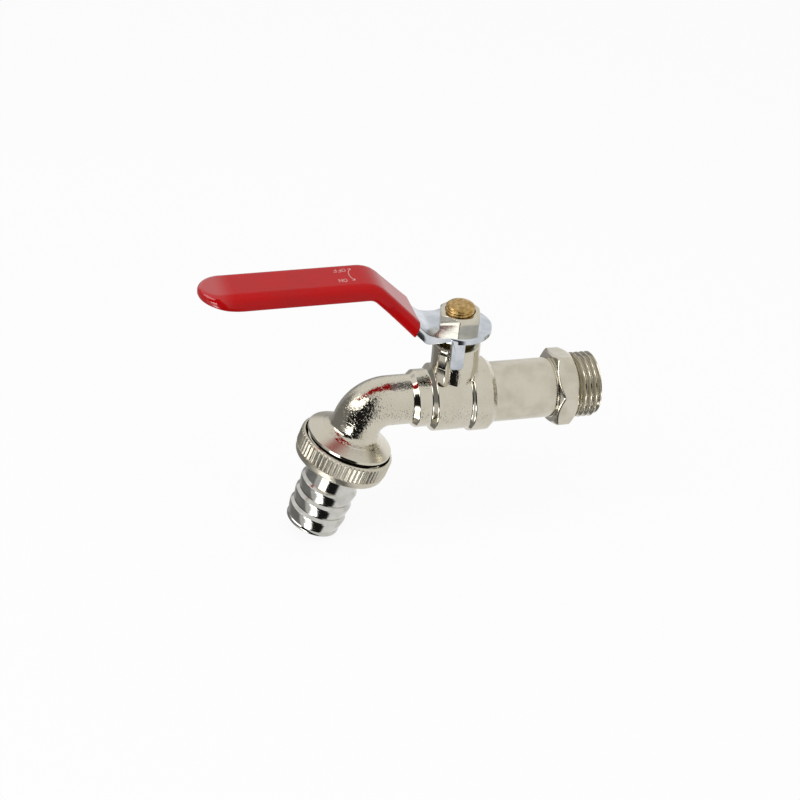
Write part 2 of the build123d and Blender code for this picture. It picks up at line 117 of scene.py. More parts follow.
def cells(rows, columns, loop_rows, loop_columns):
    """Corner numbers of a grid's quads: each cell joins its row and column to the next ones, and loops wrap round."""
    row, column = np.meshgrid(
        np.arange(rows if loop_rows else rows - 1),
        np.arange(columns if loop_columns else columns - 1),
        indexing="ij",
    )
    below, right = (row + 1) % rows, (column + 1) % columns
    corners = (row * columns + column, row * columns + right, below * columns + right, below * columns + column)
    return np.stack(corners, -1).reshape(-1, 4)


def outward(points, quads):
    """Quads turned so that the sum of p0 . (p1 x p2) over their triangles, six times the volume, is positive."""
    a, b, c, d = (points[quads[:, k]] for k in range(4))
    volume = np.einsum("ij,ij->", a, np.cross(b, c)) + np.einsum("ij,ij->", a, np.cross(c, d))
    return quads if volume > 0 else quads[:, ::-1]


def make_piece(name, body, finish, shells, stands_for=(), polish_and_shade=None):
    """Joins shells, each (grid in millimetres, loop_rows, loop_columns), into one mesh object that rides on a body."""
    points, quads, start = [], [], 0
    for grid, loop_rows, loop_columns in shells:
        flat = grid.reshape(-1, 3)
        faces = outward(flat - flat.mean(0), cells(*grid.shape[:2], loop_rows, loop_columns))
        points.append(flat)
        quads.append(faces + start)
        start += len(flat)
    mesh = bpy.data.meshes.new(name)
    mesh.from_pydata(np.vstack(points) * MM, [], np.vstack(quads))
    if polish_and_shade is not None:
        mesh.attributes.new("polish_and_shade", "FLOAT", "POINT").data.foreach_set("value", polish_and_shade.astype(np.float32))
    weld_poles(mesh)
    mesh.polygons.foreach_set("use_smooth", np.ones(len(mesh.polygons), bool))
    mesh.set_sharp_from_angle(angle=SHARP_ANGLE)
    mesh.materials.append(finish)
    piece = bpy.data.objects.new(name, mesh)
    bpy.context.scene.collection.objects.link(piece)
    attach(piece, body)
    if stands_for:
        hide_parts(*stands_for)
    print(f"{name}: {len(mesh.vertices)} points, {len(mesh.polygons)} faces, rides on {body}")


def weld_poles(mesh):
    """Merges the points that coincide, which closes poles and folded ends, and drops what has no area."""
    work = bmesh.new()
    work.from_mesh(mesh)
    bmesh.ops.remove_doubles(work, verts=work.verts, dist=WELD)
    bmesh.ops.dissolve_degenerate(work, edges=work.edges, dist=WELD)
    work.to_mesh(mesh)
    work.free()


# %% [markdown]
# A profile is drawn as straight runs, and its corners are then rounded, as a lathe tool or a casting mould would leave
# them. Extra points close to each arc hold the flats flat, so that the smooth shading of an arc doesn't leak over the
# whole face beside it.

# %% Helpers that draw profiles
ARC_STEPS = 7
HOLD = 0.08


def round_corner(before, corner, after, radius):
    """Arc in a corner: it starts radius tan(turn/2) before the corner and swings round to the same after it."""
    back, ahead = before - corner, after - corner
    back_length, ahead_length = np.linalg.norm(back), np.linalg.norm(ahead)
    back, ahead = back / back_length, ahead / ahead_length
    half = math.acos(np.clip(-back @ ahead, -1, 1)) / 2
    if radius == 0 or half < 0.01:
        return corner[None]
    cut = min(radius * math.tan(half), 0.49 * back_length, 0.49 * ahead_length)
    bisector = (back + ahead) / np.linalg.norm(back + ahead)
    middle = corner + bisector * cut / math.sin(half)
    share = np.linspace(0, 1, ARC_STEPS)[:, None]
    swing = np.sin((1 - share) * 2 * half) * (corner + back * cut - middle)
    swing += np.sin(share * 2 * half) * (corner + ahead * cut - middle)
    return middle + swing / math.sin(2 * half)


def rounded(corners, radii, loop=False):
    """Line through the corners with an arc at each; an open line keeps its two ends as they are."""
    corners = np.array(corners, float)
    radii = np.broadcast_to(radii, len(corners) if loop else len(corners) - 2)
    if loop:
        corners = np.vstack((corners[-1:], corners, corners[:1]))
    bends = [round_corner(*corners[k : k + 3], radius) for k, radius in enumerate(radii)]
    return np.vstack(bends if loop else [corners[:1], *bends, corners[-1:]])


def held(line, longest, loop=False):
    """The same line with points HOLD away from both ends of each long run, and no run longer than longest."""
    ends = np.vstack((line[1:], line[:1])) if loop else line[1:]
    parts = []
    for start, end in zip(line, ends):
        length = np.linalg.norm(end - start)
        inner = np.linspace(HOLD, length - HOLD, 2 + int(length / longest)) if length > 3 * HOLD else np.zeros(0)
        share = np.concatenate(([0.0], inner))[:, None] / max(length, WELD)
        parts.append(start + (end - start) * share)
    return np.vstack(parts if loop else [*parts, line[-1:]])


def drawn(corners, radii, longest, loop=False):
    """Rounded line whose flats are held."""
    return held(rounded(corners, radii, loop), longest, loop)


def straight(rows, radius):
    """Profile points at one radius, one for each place along the axis."""
    return np.stack((rows, np.full_like(rows, radius)), -1)


def turned(profile, middle, way, across, columns, shape=None):
    """Profile of (along, radius) swung round an axis: middle + along way + radius (cos a across + sin a side)."""
    angle = np.arange(columns) * 2 * np.pi / columns
    along, radius = profile[:, :1], profile[:, 1:]
    radius = np.broadcast_to(radius if shape is None else shape(along, radius, angle), (len(profile), columns))
    ring = np.cos(angle)[:, None] * across + np.sin(angle)[:, None] * np.cross(way, across)
    return middle + along[:, :, None] * way + radius[:, :, None] * ring


def smooth(low, high, value):
    """Goes from 0 at low to 1 at high along 3t^2 - 2t^3."""
    share = np.clip((value - low) / (high - low), 0, 1)
    return share * share * (3 - 2 * share)


def thread_groove(along, angle, pitch, start, end):
    """Depth of a right-hand screw groove, 0 on the crest, 1 at the root: a wave of along/pitch - angle/turn."""
    wave = 0.5 - 0.5 * np.cos(2 * np.pi * (along / pitch - angle / (2 * np.pi)))
    return wave**0.8 * smooth(start, start + pitch / 3, along) * smooth(end, end - pitch / 3, along)


def six_flats(angle, flat_angle, across_flats, crispness=46):
    """Radius of a hexagon with softened corners: half the width over the p-norm of the six faces' cosines."""
    faces = flat_angle + np.arange(6) * np.pi / 3
    facing = np.maximum(np.cos(angle[..., None] - faces), 0) ** crispness
    return across_flats / 2 / facing.sum(-1) ** (1 / crispness)


# %% [markdown]
# Finishes come next. A small class wraps a socket, so that shader sums read like Python: each operator adds a Math
# node. One method makes any other node. Patterns use Object coordinates in millimetres, because every piece sits at
# the origin and so shares one ruler with its neighbours.

# %% A class for shader sums
class Wire:
    """An output socket in a node tree. Operators on it add Math nodes, and node() adds any other node."""

    def __init__(self, tree, socket=None):
        self.tree, self.socket = tree, socket

    def node(self, kind, settings=None, sockets=None, out=0):
        """Adds a node of a type, sets its settings, then fills or links its sockets."""
        made = self.tree.nodes.new(kind)
        for name, value in (settings or {}).items():
            setattr(made, name, value)
        for name, value in (sockets or {}).items():
            if isinstance(value, Wire):
                self.tree.links.new(value.socket, made.inputs[name])
            else:
                made.inputs[name].default_value = value
        return Wire(self.tree, made.outputs[out] if made.outputs else None)

    def math(self, operation, *values):
        """Math node on up to three values."""
        return self.node("ShaderNodeMath", {"operation": operation}, dict(enumerate(values)))

    def __add__(self, other):
        return self.math("ADD", self, other)

    def __sub__(self, other):
        return self.math("SUBTRACT", self, other)

    def __rsub__(self, other):
        return self.math("SUBTRACT", other, self)

    def __mul__(self, other):
        return self.math("MULTIPLY", self, other)

    __radd__ = __add__
    __rmul__ = __mul__

    def ramp(self, low, high):
        """0 below low, 1 above high, smooth between."""
        limits = {"Value": self, "From Min": low, "From Max": high}
        return self.node("ShaderNodeMapRange", {"interpolation_type": "SMOOTHSTEP"}, limits)

    def blend(self, first, second):
        """Colour that goes from first to second as this value goes from 0 to 1."""
        return self.node("ShaderNodeMix", {"data_type": "RGBA"}, {0: self, 6: first, 7: second}, out=2)


def rgb(red, green, blue):
    """A display colour of 0..255 as the linear colour that a shader socket takes."""
    display = np.array((red, green, blue)) / 255
    linear = np.where(display <= 0.04045, display / 12.92, ((display + 0.055) / 1.055) ** 2.4)
    return (*linear.tolist(), 1.0)


def start_finish(name, middle=(0.0, 0.0, 0.0), turn=(0.0, 0.0, 0.0)):
    """New empty material and its ruler: Object coordinates in millimetres, turned, then measured from middle."""
    material = bpy.data.materials.new(name)
    material.use_nodes = True
    material.node_tree.nodes.clear()
    wire = Wire(material.node_tree)
    place = wire.node("ShaderNodeTexCoord", out=3)
    shift = Matrix.Rotation(turn[1], 3, "Y") @ Vector(middle)
    sockets = {"Vector": place, "Location": -shift, "Rotation": turn, "Scale": (1 / MM,) * 3}
    return material, wire.node("ShaderNodeMapping", sockets=sockets)


def end_finish(wire, constants, varying, height=None, depth=0.03):
    """Principled shader with constants on its sockets, wires on the varying ones, and a bump depth in millimetres."""
    if height is not None:
        varying = {**varying, "Normal": wire.node("ShaderNodeBump", sockets={"Height": height, "Distance": depth * MM})}
    shader = wire.node("ShaderNodeBsdfPrincipled", sockets={**constants, **varying})
    wire.node("ShaderNodeOutputMaterial", sockets={"Surface": shader})


def speckle(wire, scale, detail=2.0, stretch=None):
    """Noise with that many spots per millimetre, finer along the directions that stretch enlarges."""
    if stretch is not None:
        wire = wire.node("ShaderNodeVectorMath", {"operation": "MULTIPLY"}, {0: wire, 1: stretch})
    return wire.node("ShaderNodeTexNoise", sockets={"Vector": wire, "Scale": scale, "Detail": detail})


# %% [markdown]
# The body is brass, cast in sand or hot-pressed, tumbled and nickel plated. The plating is a warm grey mirror broken
# by the grain of the casting, so the finish is a smooth metal with a fine bump. Where a tool has turned the shoulders
# the grain is gone, and an attribute kept on the points of the body says where: 1 is turned bright, 2 is satin, and
# a value of -1 marks a narrow gap whose colour is painted near black as shade. A rough grey metal would look like
# paint, because it would lose the small bright and dark spots.

# %% Nickel plate, cast and turned
NICKEL = rgb(214, 208, 192)
NICKEL_DULL = rgb(198, 191, 173)
# Painted shade: a near-black for narrow gaps and a dark grey for the roots of a thread, where shade would fall.
GAP_SHADE_COLOUR, THREAD_ROOT_SHADE = rgb(24, 21, 16), rgb(84, 78, 66)
SHADED_GAP, TURNED, SATIN = -1.0, 1.0, 2.0


def cast_nickel(name, roughness=0.07, depth=0.06):
    """Plated casting: a bump of two grains, none where TURNED, dull where SATIN, near-black painted shade where -1."""
    material, ruler = start_finish(name)
    polish_and_shade = ruler.node("ShaderNodeAttribute", {"attribute_name": "polish_and_shade"}, out=2)
    # At -1 the colour is painted near black as shade in a narrow gap, and the surface is rougher.
    gap_shade, satin = (0 - polish_and_shade).ramp(0.2, 0.8), polish_and_shade.ramp(TURNED, SATIN)
    polish_and_shade = ruler.math("MINIMUM", ruler.math("MAXIMUM", polish_and_shade, 0.0), TURNED)
    coarse, fine, cloud = speckle(ruler, 1.5, 2.0), speckle(ruler, 4.0), speckle(ruler, 0.16)
    grain = (coarse.ramp(0.45, 0.8) * 0.7 + coarse * 0.2 + fine * 0.1) * (1 - polish_and_shade)
    dull = (cloud.ramp(0.3, 0.7) * 0.45 + coarse.ramp(0.55, 0.3) * 0.2) * (1 - polish_and_shade * 0.7)
    rough = roughness + cloud * 0.05 + fine * 0.03 - polish_and_shade * (roughness - 0.04) + gap_shade * 0.4 + satin * 0.18
    end_finish(
        ruler,
        {"Metallic": 1.0},
        {"Base Color": gap_shade.blend(dull.blend(NICKEL, NICKEL_DULL), GAP_SHADE_COLOUR), "Roughness": rough},
        grain,
        depth,
    )
    return material


def turned_nickel(name, roughness=0.11, crest_r=0.0):
    """Plated turned bar: faint tool marks across the pipe axis, soft clouds, and painted shade in a thread's roots."""
    material, ruler = start_finish(name)
    x, y, z = (ruler.node("ShaderNodeSeparateXYZ", sockets={0: ruler}, out=k) for k in range(3))
    depth = ruler.math("SQRT", y * y + z * z)
    # Painted shade: the colour darkens in the roots under a thread's crests, where shade would fall.
    below_crest = 1 - depth.ramp(crest_r - 1.0, crest_r - 0.2)
    root = x.ramp(0.3, 0.6) * below_crest * depth.ramp(crest_r - 2.0, crest_r - 1.6)
    marks = speckle(ruler, 1.0, 1.0, stretch=(4.0, 0.05, 0.05))
    cloud, fine = speckle(ruler, 0.2), speckle(ruler, 4.0)
    end_finish(
        ruler,
        {"Metallic": 1.0},
        {
            "Base Color": (root * 0.3).blend(cloud.ramp(0.3, 0.75).blend(NICKEL, NICKEL_DULL), THREAD_ROOT_SHADE),
            "Roughness": roughness + cloud * 0.08,
        },
        marks * 0.6 + fine * 0.4,
        0.01,
    )
    return material


body_nickel = cast_nickel("cast_nickel")
thread_r = frame["record"]["mounts"][0]["dims"]["r_mm"]
inlet_nickel = turned_nickel("turned_nickel", crest_r=thread_r)
print("nickel finishes:", body_nickel.name, inlet_nickel.name)

# %% [markdown]
# The other metals differ in colour, in smoothness and in the marks of how they were made. The lever is pressed steel
# with bright zinc, so it has faint scratches. The hose tail is turned and bright. The stem is bare brass, sawn off and
# left rough at its end.

# %% Zinc, brass and bright metal
ZINC, ZINC_DULL = rgb(222, 226, 230), rgb(198, 204, 211)
# The third colour is painted shade for the shank in the lever's shadow.
BRASS, BRASS_PIT, SHANK_SHADE = rgb(202, 170, 112), rgb(164, 131, 78), rgb(66, 58, 28)
BRIGHT, BRIGHT_DULL = rgb(212, 210, 204), rgb(192, 190, 183)
SHANK_END = 25.0


def zinc_steel(name):
    """Bright zinc on pressed steel: bluish grey with long faint scratches along the arm and soft clouds."""
    material, ruler = start_finish(name, stem_mid)
    scratch = speckle(ruler, 1.0, 2.0, stretch=(0.25, 5.0, 5.0))
    cloud = speckle(ruler, 0.25)
    end_finish(
        ruler,
        {"Metallic": 1.0},
        {
            "Base Color": cloud.ramp(0.3, 0.7).blend(ZINC, ZINC_DULL),
            "Roughness": 0.13 + cloud * 0.08 + scratch * 0.05,
        },
        scratch,
        0.006,
    )
    return material


def bare_brass(name):
    """Brass with a sawn end: soft pits, and painted shade, dark olive, on the shank below the lever."""
    material, ruler = start_finish(name, stem_mid)
    z = ruler.node("ShaderNodeSeparateXYZ", sockets={0: ruler}, out=2)
    pits, saw = speckle(ruler, 0.9, 3.0), speckle(ruler, 1.2, 2.0, stretch=(0.4, 3.0, 1.0))
    worn = pits.ramp(0.35, 0.65)
    # Painted shade: below SHANK_END the shank under the lever is coloured dark olive.
    metal = z.ramp(SHANK_END - 0.5, SHANK_END).blend(SHANK_SHADE, worn.blend(BRASS_PIT, BRASS))
    end_finish(
        ruler,
        {"Metallic": 1.0},
        {"Base Color": metal, "Roughness": 0.3 - worn * 0.1},
        pits * 0.8 + saw * 0.2,
        0.028,
    )
    return material


def bright_metal(name):
    """Turned bright metal: rings of tool marks square to the outlet axis, almost a mirror."""
    material, ruler = start_finish(name, outlet_mid, (0.0, lean, 0.0))
    marks = speckle(ruler, 1.0, 1.0, stretch=(0.05, 0.05, 5.0))
    cloud = speckle(ruler, 0.3)
    end_finish(
        ruler,
        {"Metallic": 1.0},
        {
            "Base Color": cloud.ramp(0.3, 0.7).blend(BRIGHT, BRIGHT_DULL),
            "Roughness": 0.08 + cloud * 0.05 + marks * 0.04,
        },
        marks,
        0.012,
    )
    return material


lever_zinc = zinc_steel("zinc_steel")
stem_brass = bare_brass("bare_brass")
tail_bright = bright_metal("bright_metal")
print("metals:", lever_zinc.name, stem_brass.name, tail_bright.name)

# %% [markdown]
# The grip is dipped in red vinyl, a thick soft plastic with a gloss. Dipping leaves a slightly wavy skin, so the bump
# is broad and shallow. The seals inside are white fluoroplastic and black rubber, and the ball is chromed. They hardly
# show, but the part can be opened, so they get a finish too.

# %% Vinyl, seals, ball and print
VINYL, VINYL_RUBBED = rgb(191, 10, 13), rgb(182, 18, 20)
CHROME, CHROME_RUBBED = rgb(226, 228, 231), rgb(205, 207, 211)
TIP_GLOSS = (-76.0, -70.0)


def dipped_vinyl(name):
    """Red vinyl: broad waves and a fine skin, paler and rougher where rubbed, glossy at the tip."""
    material, ruler = start_finish(name, stem_mid)
    waves, skin, rub = speckle(ruler, 0.22), speckle(ruler, 6.0), speckle(ruler, 0.12, 4.0)
    x = ruler.node("ShaderNodeSeparateXYZ", sockets={0: ruler})
    end_finish(
        ruler,
        {"IOR": 1.5, "Specular IOR Level": 0.18, "Coat Roughness": 0.05},
        {
            "Base Color": rub.ramp(0.35, 0.75).blend(VINYL, VINYL_RUBBED),
            "Roughness": 0.07 + rub * 0.1 + skin * 0.03,
            "Coat Weight": 1 - x.ramp(*TIP_GLOSS),
        },
        waves * 0.85 + skin * 0.15,
        0.015,
    )
    return material


def soft_seal(name, light, dark, roughness):
    """Seal material: fine speckle in its colour, roughness and skin."""
    material, ruler = start_finish(name)
    fleck, skin = speckle(ruler, 0.8, 3.0), speckle(ruler, 5.0)
    end_finish(
        ruler,
        {},
        {"Base Color": fleck.ramp(0.3, 0.7).blend(light, dark), "Roughness": roughness + skin * 0.1},
        skin,
        0.01,
    )
    return material


def chromed_ball(name):
    """Chrome on the ball: a mirror with faint rubbed bands from the seats, across the pipe axis."""
    material, ruler = start_finish(name, stem_mid)
    bands = speckle(ruler, 1.0, 1.0, stretch=(2.0, 0.1, 0.1))
    end_finish(
        ruler,
        {"Metallic": 1.0},
        {"Base Color": bands.blend(CHROME, CHROME_RUBBED), "Roughness": 0.05 + bands * 0.08},
        bands,
        0.004,
    )
    return material


grip_vinyl = dipped_vinyl("red_vinyl")
white_seal = soft_seal("white_seal", rgb(236, 235, 230), rgb(222, 220, 212), 0.42)
black_rubber = soft_seal("black_rubber", rgb(34, 34, 36), rgb(24, 24, 25), 0.55)
white_print = soft_seal("white_print", rgb(226, 176, 172), rgb(206, 140, 136), 0.5)
ball_chrome = chromed_ball("ball_chrome")
for node, finish in (
    ("ball", ball_chrome),
    ("spout_seat", white_seal),
    ("inlet_seat", white_seal),
    ("thrust_washer", white_seal),
    ("body_seal", black_rubber),
    ("lower_stem_ring", black_rubber),
    ("upper_stem_ring", black_rubber),
    ("hose_washer", black_rubber),
):
    frame["nodes"][node].data.materials.clear()
    frame["nodes"][node].data.materials.append(finish)
print("vinyl, seals, ball and print are ready")

# %% [markdown]
# The casting is one profile carried along one path. The path runs along the pipe axis, round the elbow and down the
# outlet. The profile gives the radius at each stop of that path: socket, collar, ringed barrel, spout, flared skirt
# and threaded spigot, then back along the inside. Because it ends where it began, the surface is a closed ring with a
# real bore. The union thread is cut by lowering the radius along a screw line.

# %% Body casting along its path
elbow_r, spout_r, barrel_r, collar_r, ring_r = 10.0, 7.85, 10.75, 11.7, 9.1
bend_turn = math.pi / 2 - lean
elbow_reach = elbow_r * math.tan(bend_turn / 2)
bend_start = stem_x - outlet_mid[0] - elbow_reach
bend_end = bend_start + elbow_r * bend_turn
socket_r, socket_end, chamber_r, chamber_half, bore_r = 8.95, 12.0, 8.4, 8.0, 5.6
skirt_start, skirt_rim, skirt_end, skirt_r, spigot_r = 10.0, 13.4, 14.3, 13.9, 13.22
mouth_r, mouth_depth, pipe_pitch, thread_depth = 8.0, 4.25, 1.814, 1.0
collar_start, collar_end, barrel_start, barrel_end = -10.2, -4.7, -3.8, 7.1
ring_start, ring_end, spout_start = 8.5, 12.6, 14.2
EDGE, SOFT_EDGE, RING_EDGE, SKIRT_ROUND = 0.3, 0.5, 0.65, 2.0
BODY_COLUMNS = 144


def outlet_stop(distance):
    """Travel along the path at which the outlet axis is that far below the pipe axis."""
    return bend_end + distance - elbow_reach


def spout_path(travel):
    """Path and its outer side: turn = (travel - bend_start)/elbow_r, held to the bend's quarter circle."""
    turn = np.clip((travel - bend_start) / elbow_r, 0, bend_turn)
    outer = np.stack((-np.sin(turn), 0 * turn, np.cos(turn)), -1)
    ahead = np.stack((-np.cos(turn), 0 * turn, -np.sin(turn)), -1)
    straight = np.minimum(travel - bend_start, 0) + np.maximum(travel - bend_end, 0)
    bend_middle = stem_mid - bend_start * ALONG_X - elbow_r * ALONG_Z
    return bend_middle + elbow_r * outer + straight[:, None] * ahead, outer


body_corners = (
    (-socket_end, socket_r, EDGE),
    (-socket_end, 10.2, EDGE),
    (collar_start, collar_r, SOFT_EDGE),
    (collar_end, collar_r, RING_EDGE),
    (barrel_start, barrel_r, RING_EDGE),
    (barrel_end, barrel_r, RING_EDGE),
    (ring_start, ring_r, RING_EDGE),
    (ring_end, ring_r, RING_EDGE),
    (spout_start, spout_r, 1.0),
    (outlet_stop(skirt_start), spout_r, SKIRT_ROUND),
    (outlet_stop(skirt_rim), skirt_r, EDGE / 2),
    (outlet_stop(skirt_end), skirt_r, EDGE / 2),
    (outlet_stop(skirt_end), spigot_r, 0.0),
    (outlet_stop(spigot_end), spigot_r, EDGE),
    (outlet_stop(spigot_end), mouth_r, EDGE),
    (outlet_stop(spigot_end - mouth_depth), mouth_r, 0.0),
    (outlet_stop(spigot_end - mouth_depth), bore_r, 0.0),
    (chamber_half, bore_r, 0.0),
    (chamber_half, chamber_r, 0.0),
    (-chamber_half, chamber_r, 0.0),
    (-chamber_half, socket_r, 0.0),
)
body_profile = drawn([corner[:2] for corner in body_corners], [corner[2] for corner in body_corners], 0.6, loop=True)
fine_thread = np.arange(outlet_stop(skirt_end) + 0.1, outlet_stop(spigot_end) - 0.35, pipe_pitch / 14)
cut = np.flatnonzero((body_profile[:, 1] == spigot_r) & (np.roll(body_profile[:, 1], -1) == spigot_r))
body_profile = np.vstack((body_profile[: cut[0] + 1], straight(fine_thread, spigot_r), body_profile[cut[-1] + 1 :]))
body_path, body_outer = spout_path(body_profile[:, 0])
body_angle = np.arange(BODY_COLUMNS) * 2 * np.pi / BODY_COLUMNS
spigot_groove = thread_groove(
    body_profile[:, :1], body_angle, pipe_pitch, outlet_stop(skirt_end) + 0.5, outlet_stop(spigot_end) + 0.3
)
on_spigot = (body_profile[:, 1:] > mouth_r + 1) & (body_profile[:, :1] > outlet_stop(skirt_end) + 0.05)
body_radius = body_profile[:, 1:] - thread_depth * spigot_groove * on_spigot
body_ring = np.cos(body_angle)[:, None] * body_outer[:, None] + np.sin(body_angle)[:, None] * ALONG_Y
body_grid = body_path[:, None] + body_radius[:, :, None] * body_ring
print("casting grid:", body_grid.shape, "travel ends at", round(float(body_profile[:, 0].max()), 2))

# %% [markdown]
# A turning tool has finished the conical shoulders, the socket face and the spigot. These stops of the path are
# TURNED, the brushed cone of the skirt is SATIN, and both fade over a tenth of a millimetre. The gap between the skirt
# and the union nut gets -1, painted shade that turns its colour near black.

# %% Where the casting is turned bright
turned_zones = (
    (collar_end - 0.3, barrel_start + 0.3, TURNED),
    (barrel_end - 0.4, ring_start + 0.4, TURNED),
    (ring_end - 0.4, spout_start + 0.2, TURNED),
    (outlet_stop(skirt_start + 1.4), outlet_stop(skirt_rim - 0.1), SATIN),
    (outlet_stop(skirt_rim), outlet_stop(skirt_rim + 5.2), TURNED),
)
stop = body_profile[:, 0]
body_polish_and_shade = sum(
    level * smooth(low - 0.1, low, stop) * smooth(high + 0.1, high, stop) for low, high, level in turned_zones
)
# Painted shade: the spigot between the skirt and the union nut gets -1, which paints it near black.
shaded_spigot = (stop > outlet_stop(skirt_end) - 0.01) & (stop < outlet_stop(union_top + 0.6))
shaded_spigot &= body_profile[:, 1] < skirt_r - 0.2
body_polish_and_shade = np.repeat(np.where(shaded_spigot, SHADED_GAP, body_polish_and_shade), BODY_COLUMNS)
print("turned share of the casting:", round(float(body_polish_and_shade.mean()), 2))

# %% [markdown]
# The neck stands on the barrel, and the metal between them is a fillet that follows the barrel's round back. Its foot
# lies on the barrel at each angle, so the fillet ends where the barrel's slope meets it: the arc is shorter on the
# steep sides than at the front and back. The stop lug is a block with soft edges, cast on the neck's front left: thick
# below, thinner above, with a foot that runs into the barrel.

# %% Neck and stop lug
neck_r, neck_top, neck_waist, neck_bore_r, neck_fillet = 7.4, 19.9, 14.0, 5.6, 1.3
NECK_POLISH, LUG_POLISH = 0.4, 0.8
NECK_COLUMNS, FILLET_ROWS = 144, 9
outside = body_profile[:, 1] >= spout_r
barrel_x, first = np.unique(np.round(-stop[outside], 4), return_index=True)
barrel_reach = body_profile[outside, 1][first]


def barrel_height(out, angle, sink=0.0):
    """Height of the barrel at a distance and angle from the stem: sqrt(R(x)^2 - y^2), R from the profile."""
    reach = np.interp(out * np.cos(angle), barrel_x, barrel_reach) - sink
    return np.sqrt(np.maximum(reach**2 - (out * np.sin(angle)) ** 2, 0.5))


def neck_surface():
    """Rows from the foot up the fillet, the wall and down the bore: out = r + f(1 - cos t), up = f(1 - sin t)."""
    angle = np.arange(NECK_COLUMNS) * 2 * np.pi / NECK_COLUMNS
    probe = neck_r + 0.6 * neck_fillet
    fall = (barrel_height(probe - 0.2, angle) - barrel_height(probe + 0.2, angle)) / 0.4
    sweep = np.pi / 2 - np.arctan(np.maximum(fall, 0))
    tilt = np.linspace(1, 0, FILLET_ROWS)[:, None] * sweep
    foot_out = neck_r + neck_fillet * (1 - np.cos(sweep))
    fillet_out = neck_r + neck_fillet * (1 - np.cos(tilt))
    foot_up = barrel_height(foot_out, angle, 0.02)
    fillet_up = foot_up + neck_fillet * (np.sin(sweep) - np.sin(tilt))
    sunk = np.stack((foot_out - 0.2, barrel_height(foot_out - 0.2, angle, 0.9)), -1)[None]
    bore_low = np.stack((0 * angle + neck_bore_r, barrel_height(0 * angle + neck_bore_r, angle, 0.9)), -1)[None]
    top = ((neck_r, neck_waist), (neck_r, neck_top), (neck_bore_r, neck_top), (neck_bore_r, neck_waist))
    top = np.repeat(drawn(top, (0.55, 0.25), 1.0)[:, None], NECK_COLUMNS, 1)
    outline = np.concatenate((sunk, np.stack((fillet_out, fillet_up), -1), top, bore_low))
    ring = np.stack((np.cos(angle), np.sin(angle), 0 * angle), -1)
    return stem_mid + outline[:, :, :1] * ring + outline[:, :, 1:] * ALONG_Z


def block(outline, stations, middle, first, second, way):
    """Closed outline of (first, second) carried along way: each station is (along, shrink, and two shifts or none)."""
    centre = outline.mean(0)
    rows = [
        middle + along * way + np.outer(place[:, 0], first) + np.outer(place[:, 1], second)
        for along, shrink, *shift in stations
        for place in [centre + (shift or 0.0) + (outline - centre) * shrink]
    ]
    return np.stack(rows)


lug_angle, lug_half, lug_root, lug_reach, lug_low, lug_top = math.radians(-135), 1.7, 6.2, 9.5, 7.0, 20.6
lug_out = np.array((math.cos(lug_angle), math.sin(lug_angle), 0.0))
lug_outline = ((lug_root, -lug_half), (lug_reach, -lug_half), (lug_reach, lug_half), (lug_root, lug_half))
lug_block_low, lug_block_top, lug_step_top, lug_bevel = 9.7, 14.0, 15.2, 19.0
lug_stations = (
    (lug_low, 0.0, -1.6, 0.4),
    (lug_low, 0.9, -1.6, 0.4),
    (lug_block_low - 0.3, 0.97, -0.1, 0.5),
    (lug_block_low, 1.0, 0.2, 0.5),
    (lug_block_top, 0.98, 0.1, 0.3),
    (lug_block_top + 0.4, 0.96, -0.1, 0.2),
    (lug_step_top, 0.92, -0.55, 0.0),
    (lug_bevel - 0.4, 0.9, -0.6, 0.0),
    (lug_bevel, 0.89, -0.65, 0.0),
    (lug_top - 0.5, 0.85, -1.3, 0.0),
    (lug_top - 0.15, 0.78, -1.55, 0.0),
    (lug_top, 0.65, -1.6, 0.0),
    (lug_top, 0.0, -1.6, 0.0),
)
lug_outline, lug_across = drawn(lug_outline, 0.5, 0.8, loop=True), np.cross(ALONG_Z, lug_out)
lug_grid = block(lug_outline, lug_stations, stem_mid, lug_out, lug_across, ALONG_Z)
neck_grid = neck_surface()
make_piece(
    "tap_body",
    "body",
    body_nickel,
    [(body_grid, True, True), (neck_grid, True, True), (lug_grid, False, True)],
    ["spout_body"],
    np.concatenate(
        (body_polish_and_shade, np.full(neck_grid.size // 3, NECK_POLISH), np.full(lug_grid.size // 3, LUG_POLISH))
    ),
)

# %% [markdown]
# The inlet tail is turned from hexagon bar. In polar form its radius is a function of the place along the pipe and the
# angle: the tube is a constant, the hexagon is a p-norm of six flats held under a cone at both ends, and the thread is
# a crest lowered by a rounded screw groove. A pipe thread of half an inch has 14 turns to the inch.

# %% Inlet tail with hexagon and pipe thread
tube_r, nose_r, tube_start, hex_thick, hex_width = 9.6, 8.9, -26.8, 6.4, 22.5
inlet_bore_r, hex_bevel, hex_face_r, groove_r = 6.5, 1.2, 11.25, 9.35
hex_flat_angle = math.radians(14.5)
relief_end, thread_start, mouth_bevel, wall_thread_depth = 0.85, 1.0, 1.0, 1.1
INLET_COLUMNS, HEX_CRISP = 240, 3.0


def inlet_shape(along, radius, angle):
    """Radius of the outside: soft minimum of hexagon and bevel cone from -hex_thick to 0, screw groove beyond it."""
    rise = (hex_corner_r - hex_face_r) / hex_bevel
    from_face = np.minimum(-along, along + hex_thick)
    cone = hex_face_r + rise * np.maximum(from_face, 0)
    flats = six_flats(angle[None], hex_flat_angle, hex_width)
    hexagon = -np.log(np.exp(-HEX_CRISP * cone) + np.exp(-HEX_CRISP * flats)) / HEX_CRISP
    thread = radius - wall_thread_depth * thread_groove(along, angle, pipe_pitch, 0.9, inlet_end + 0.6)
    on_hexagon = (along > -hex_thick - WELD) & (along < WELD) & (radius > thread_r + 0.5)
    on_thread = (along > relief_end) & (radius > thread_r - 2.0) & (radius > inlet_bore_r + 1.0)
    return np.where(on_hexagon, hexagon, np.where(on_thread, thread, radius))


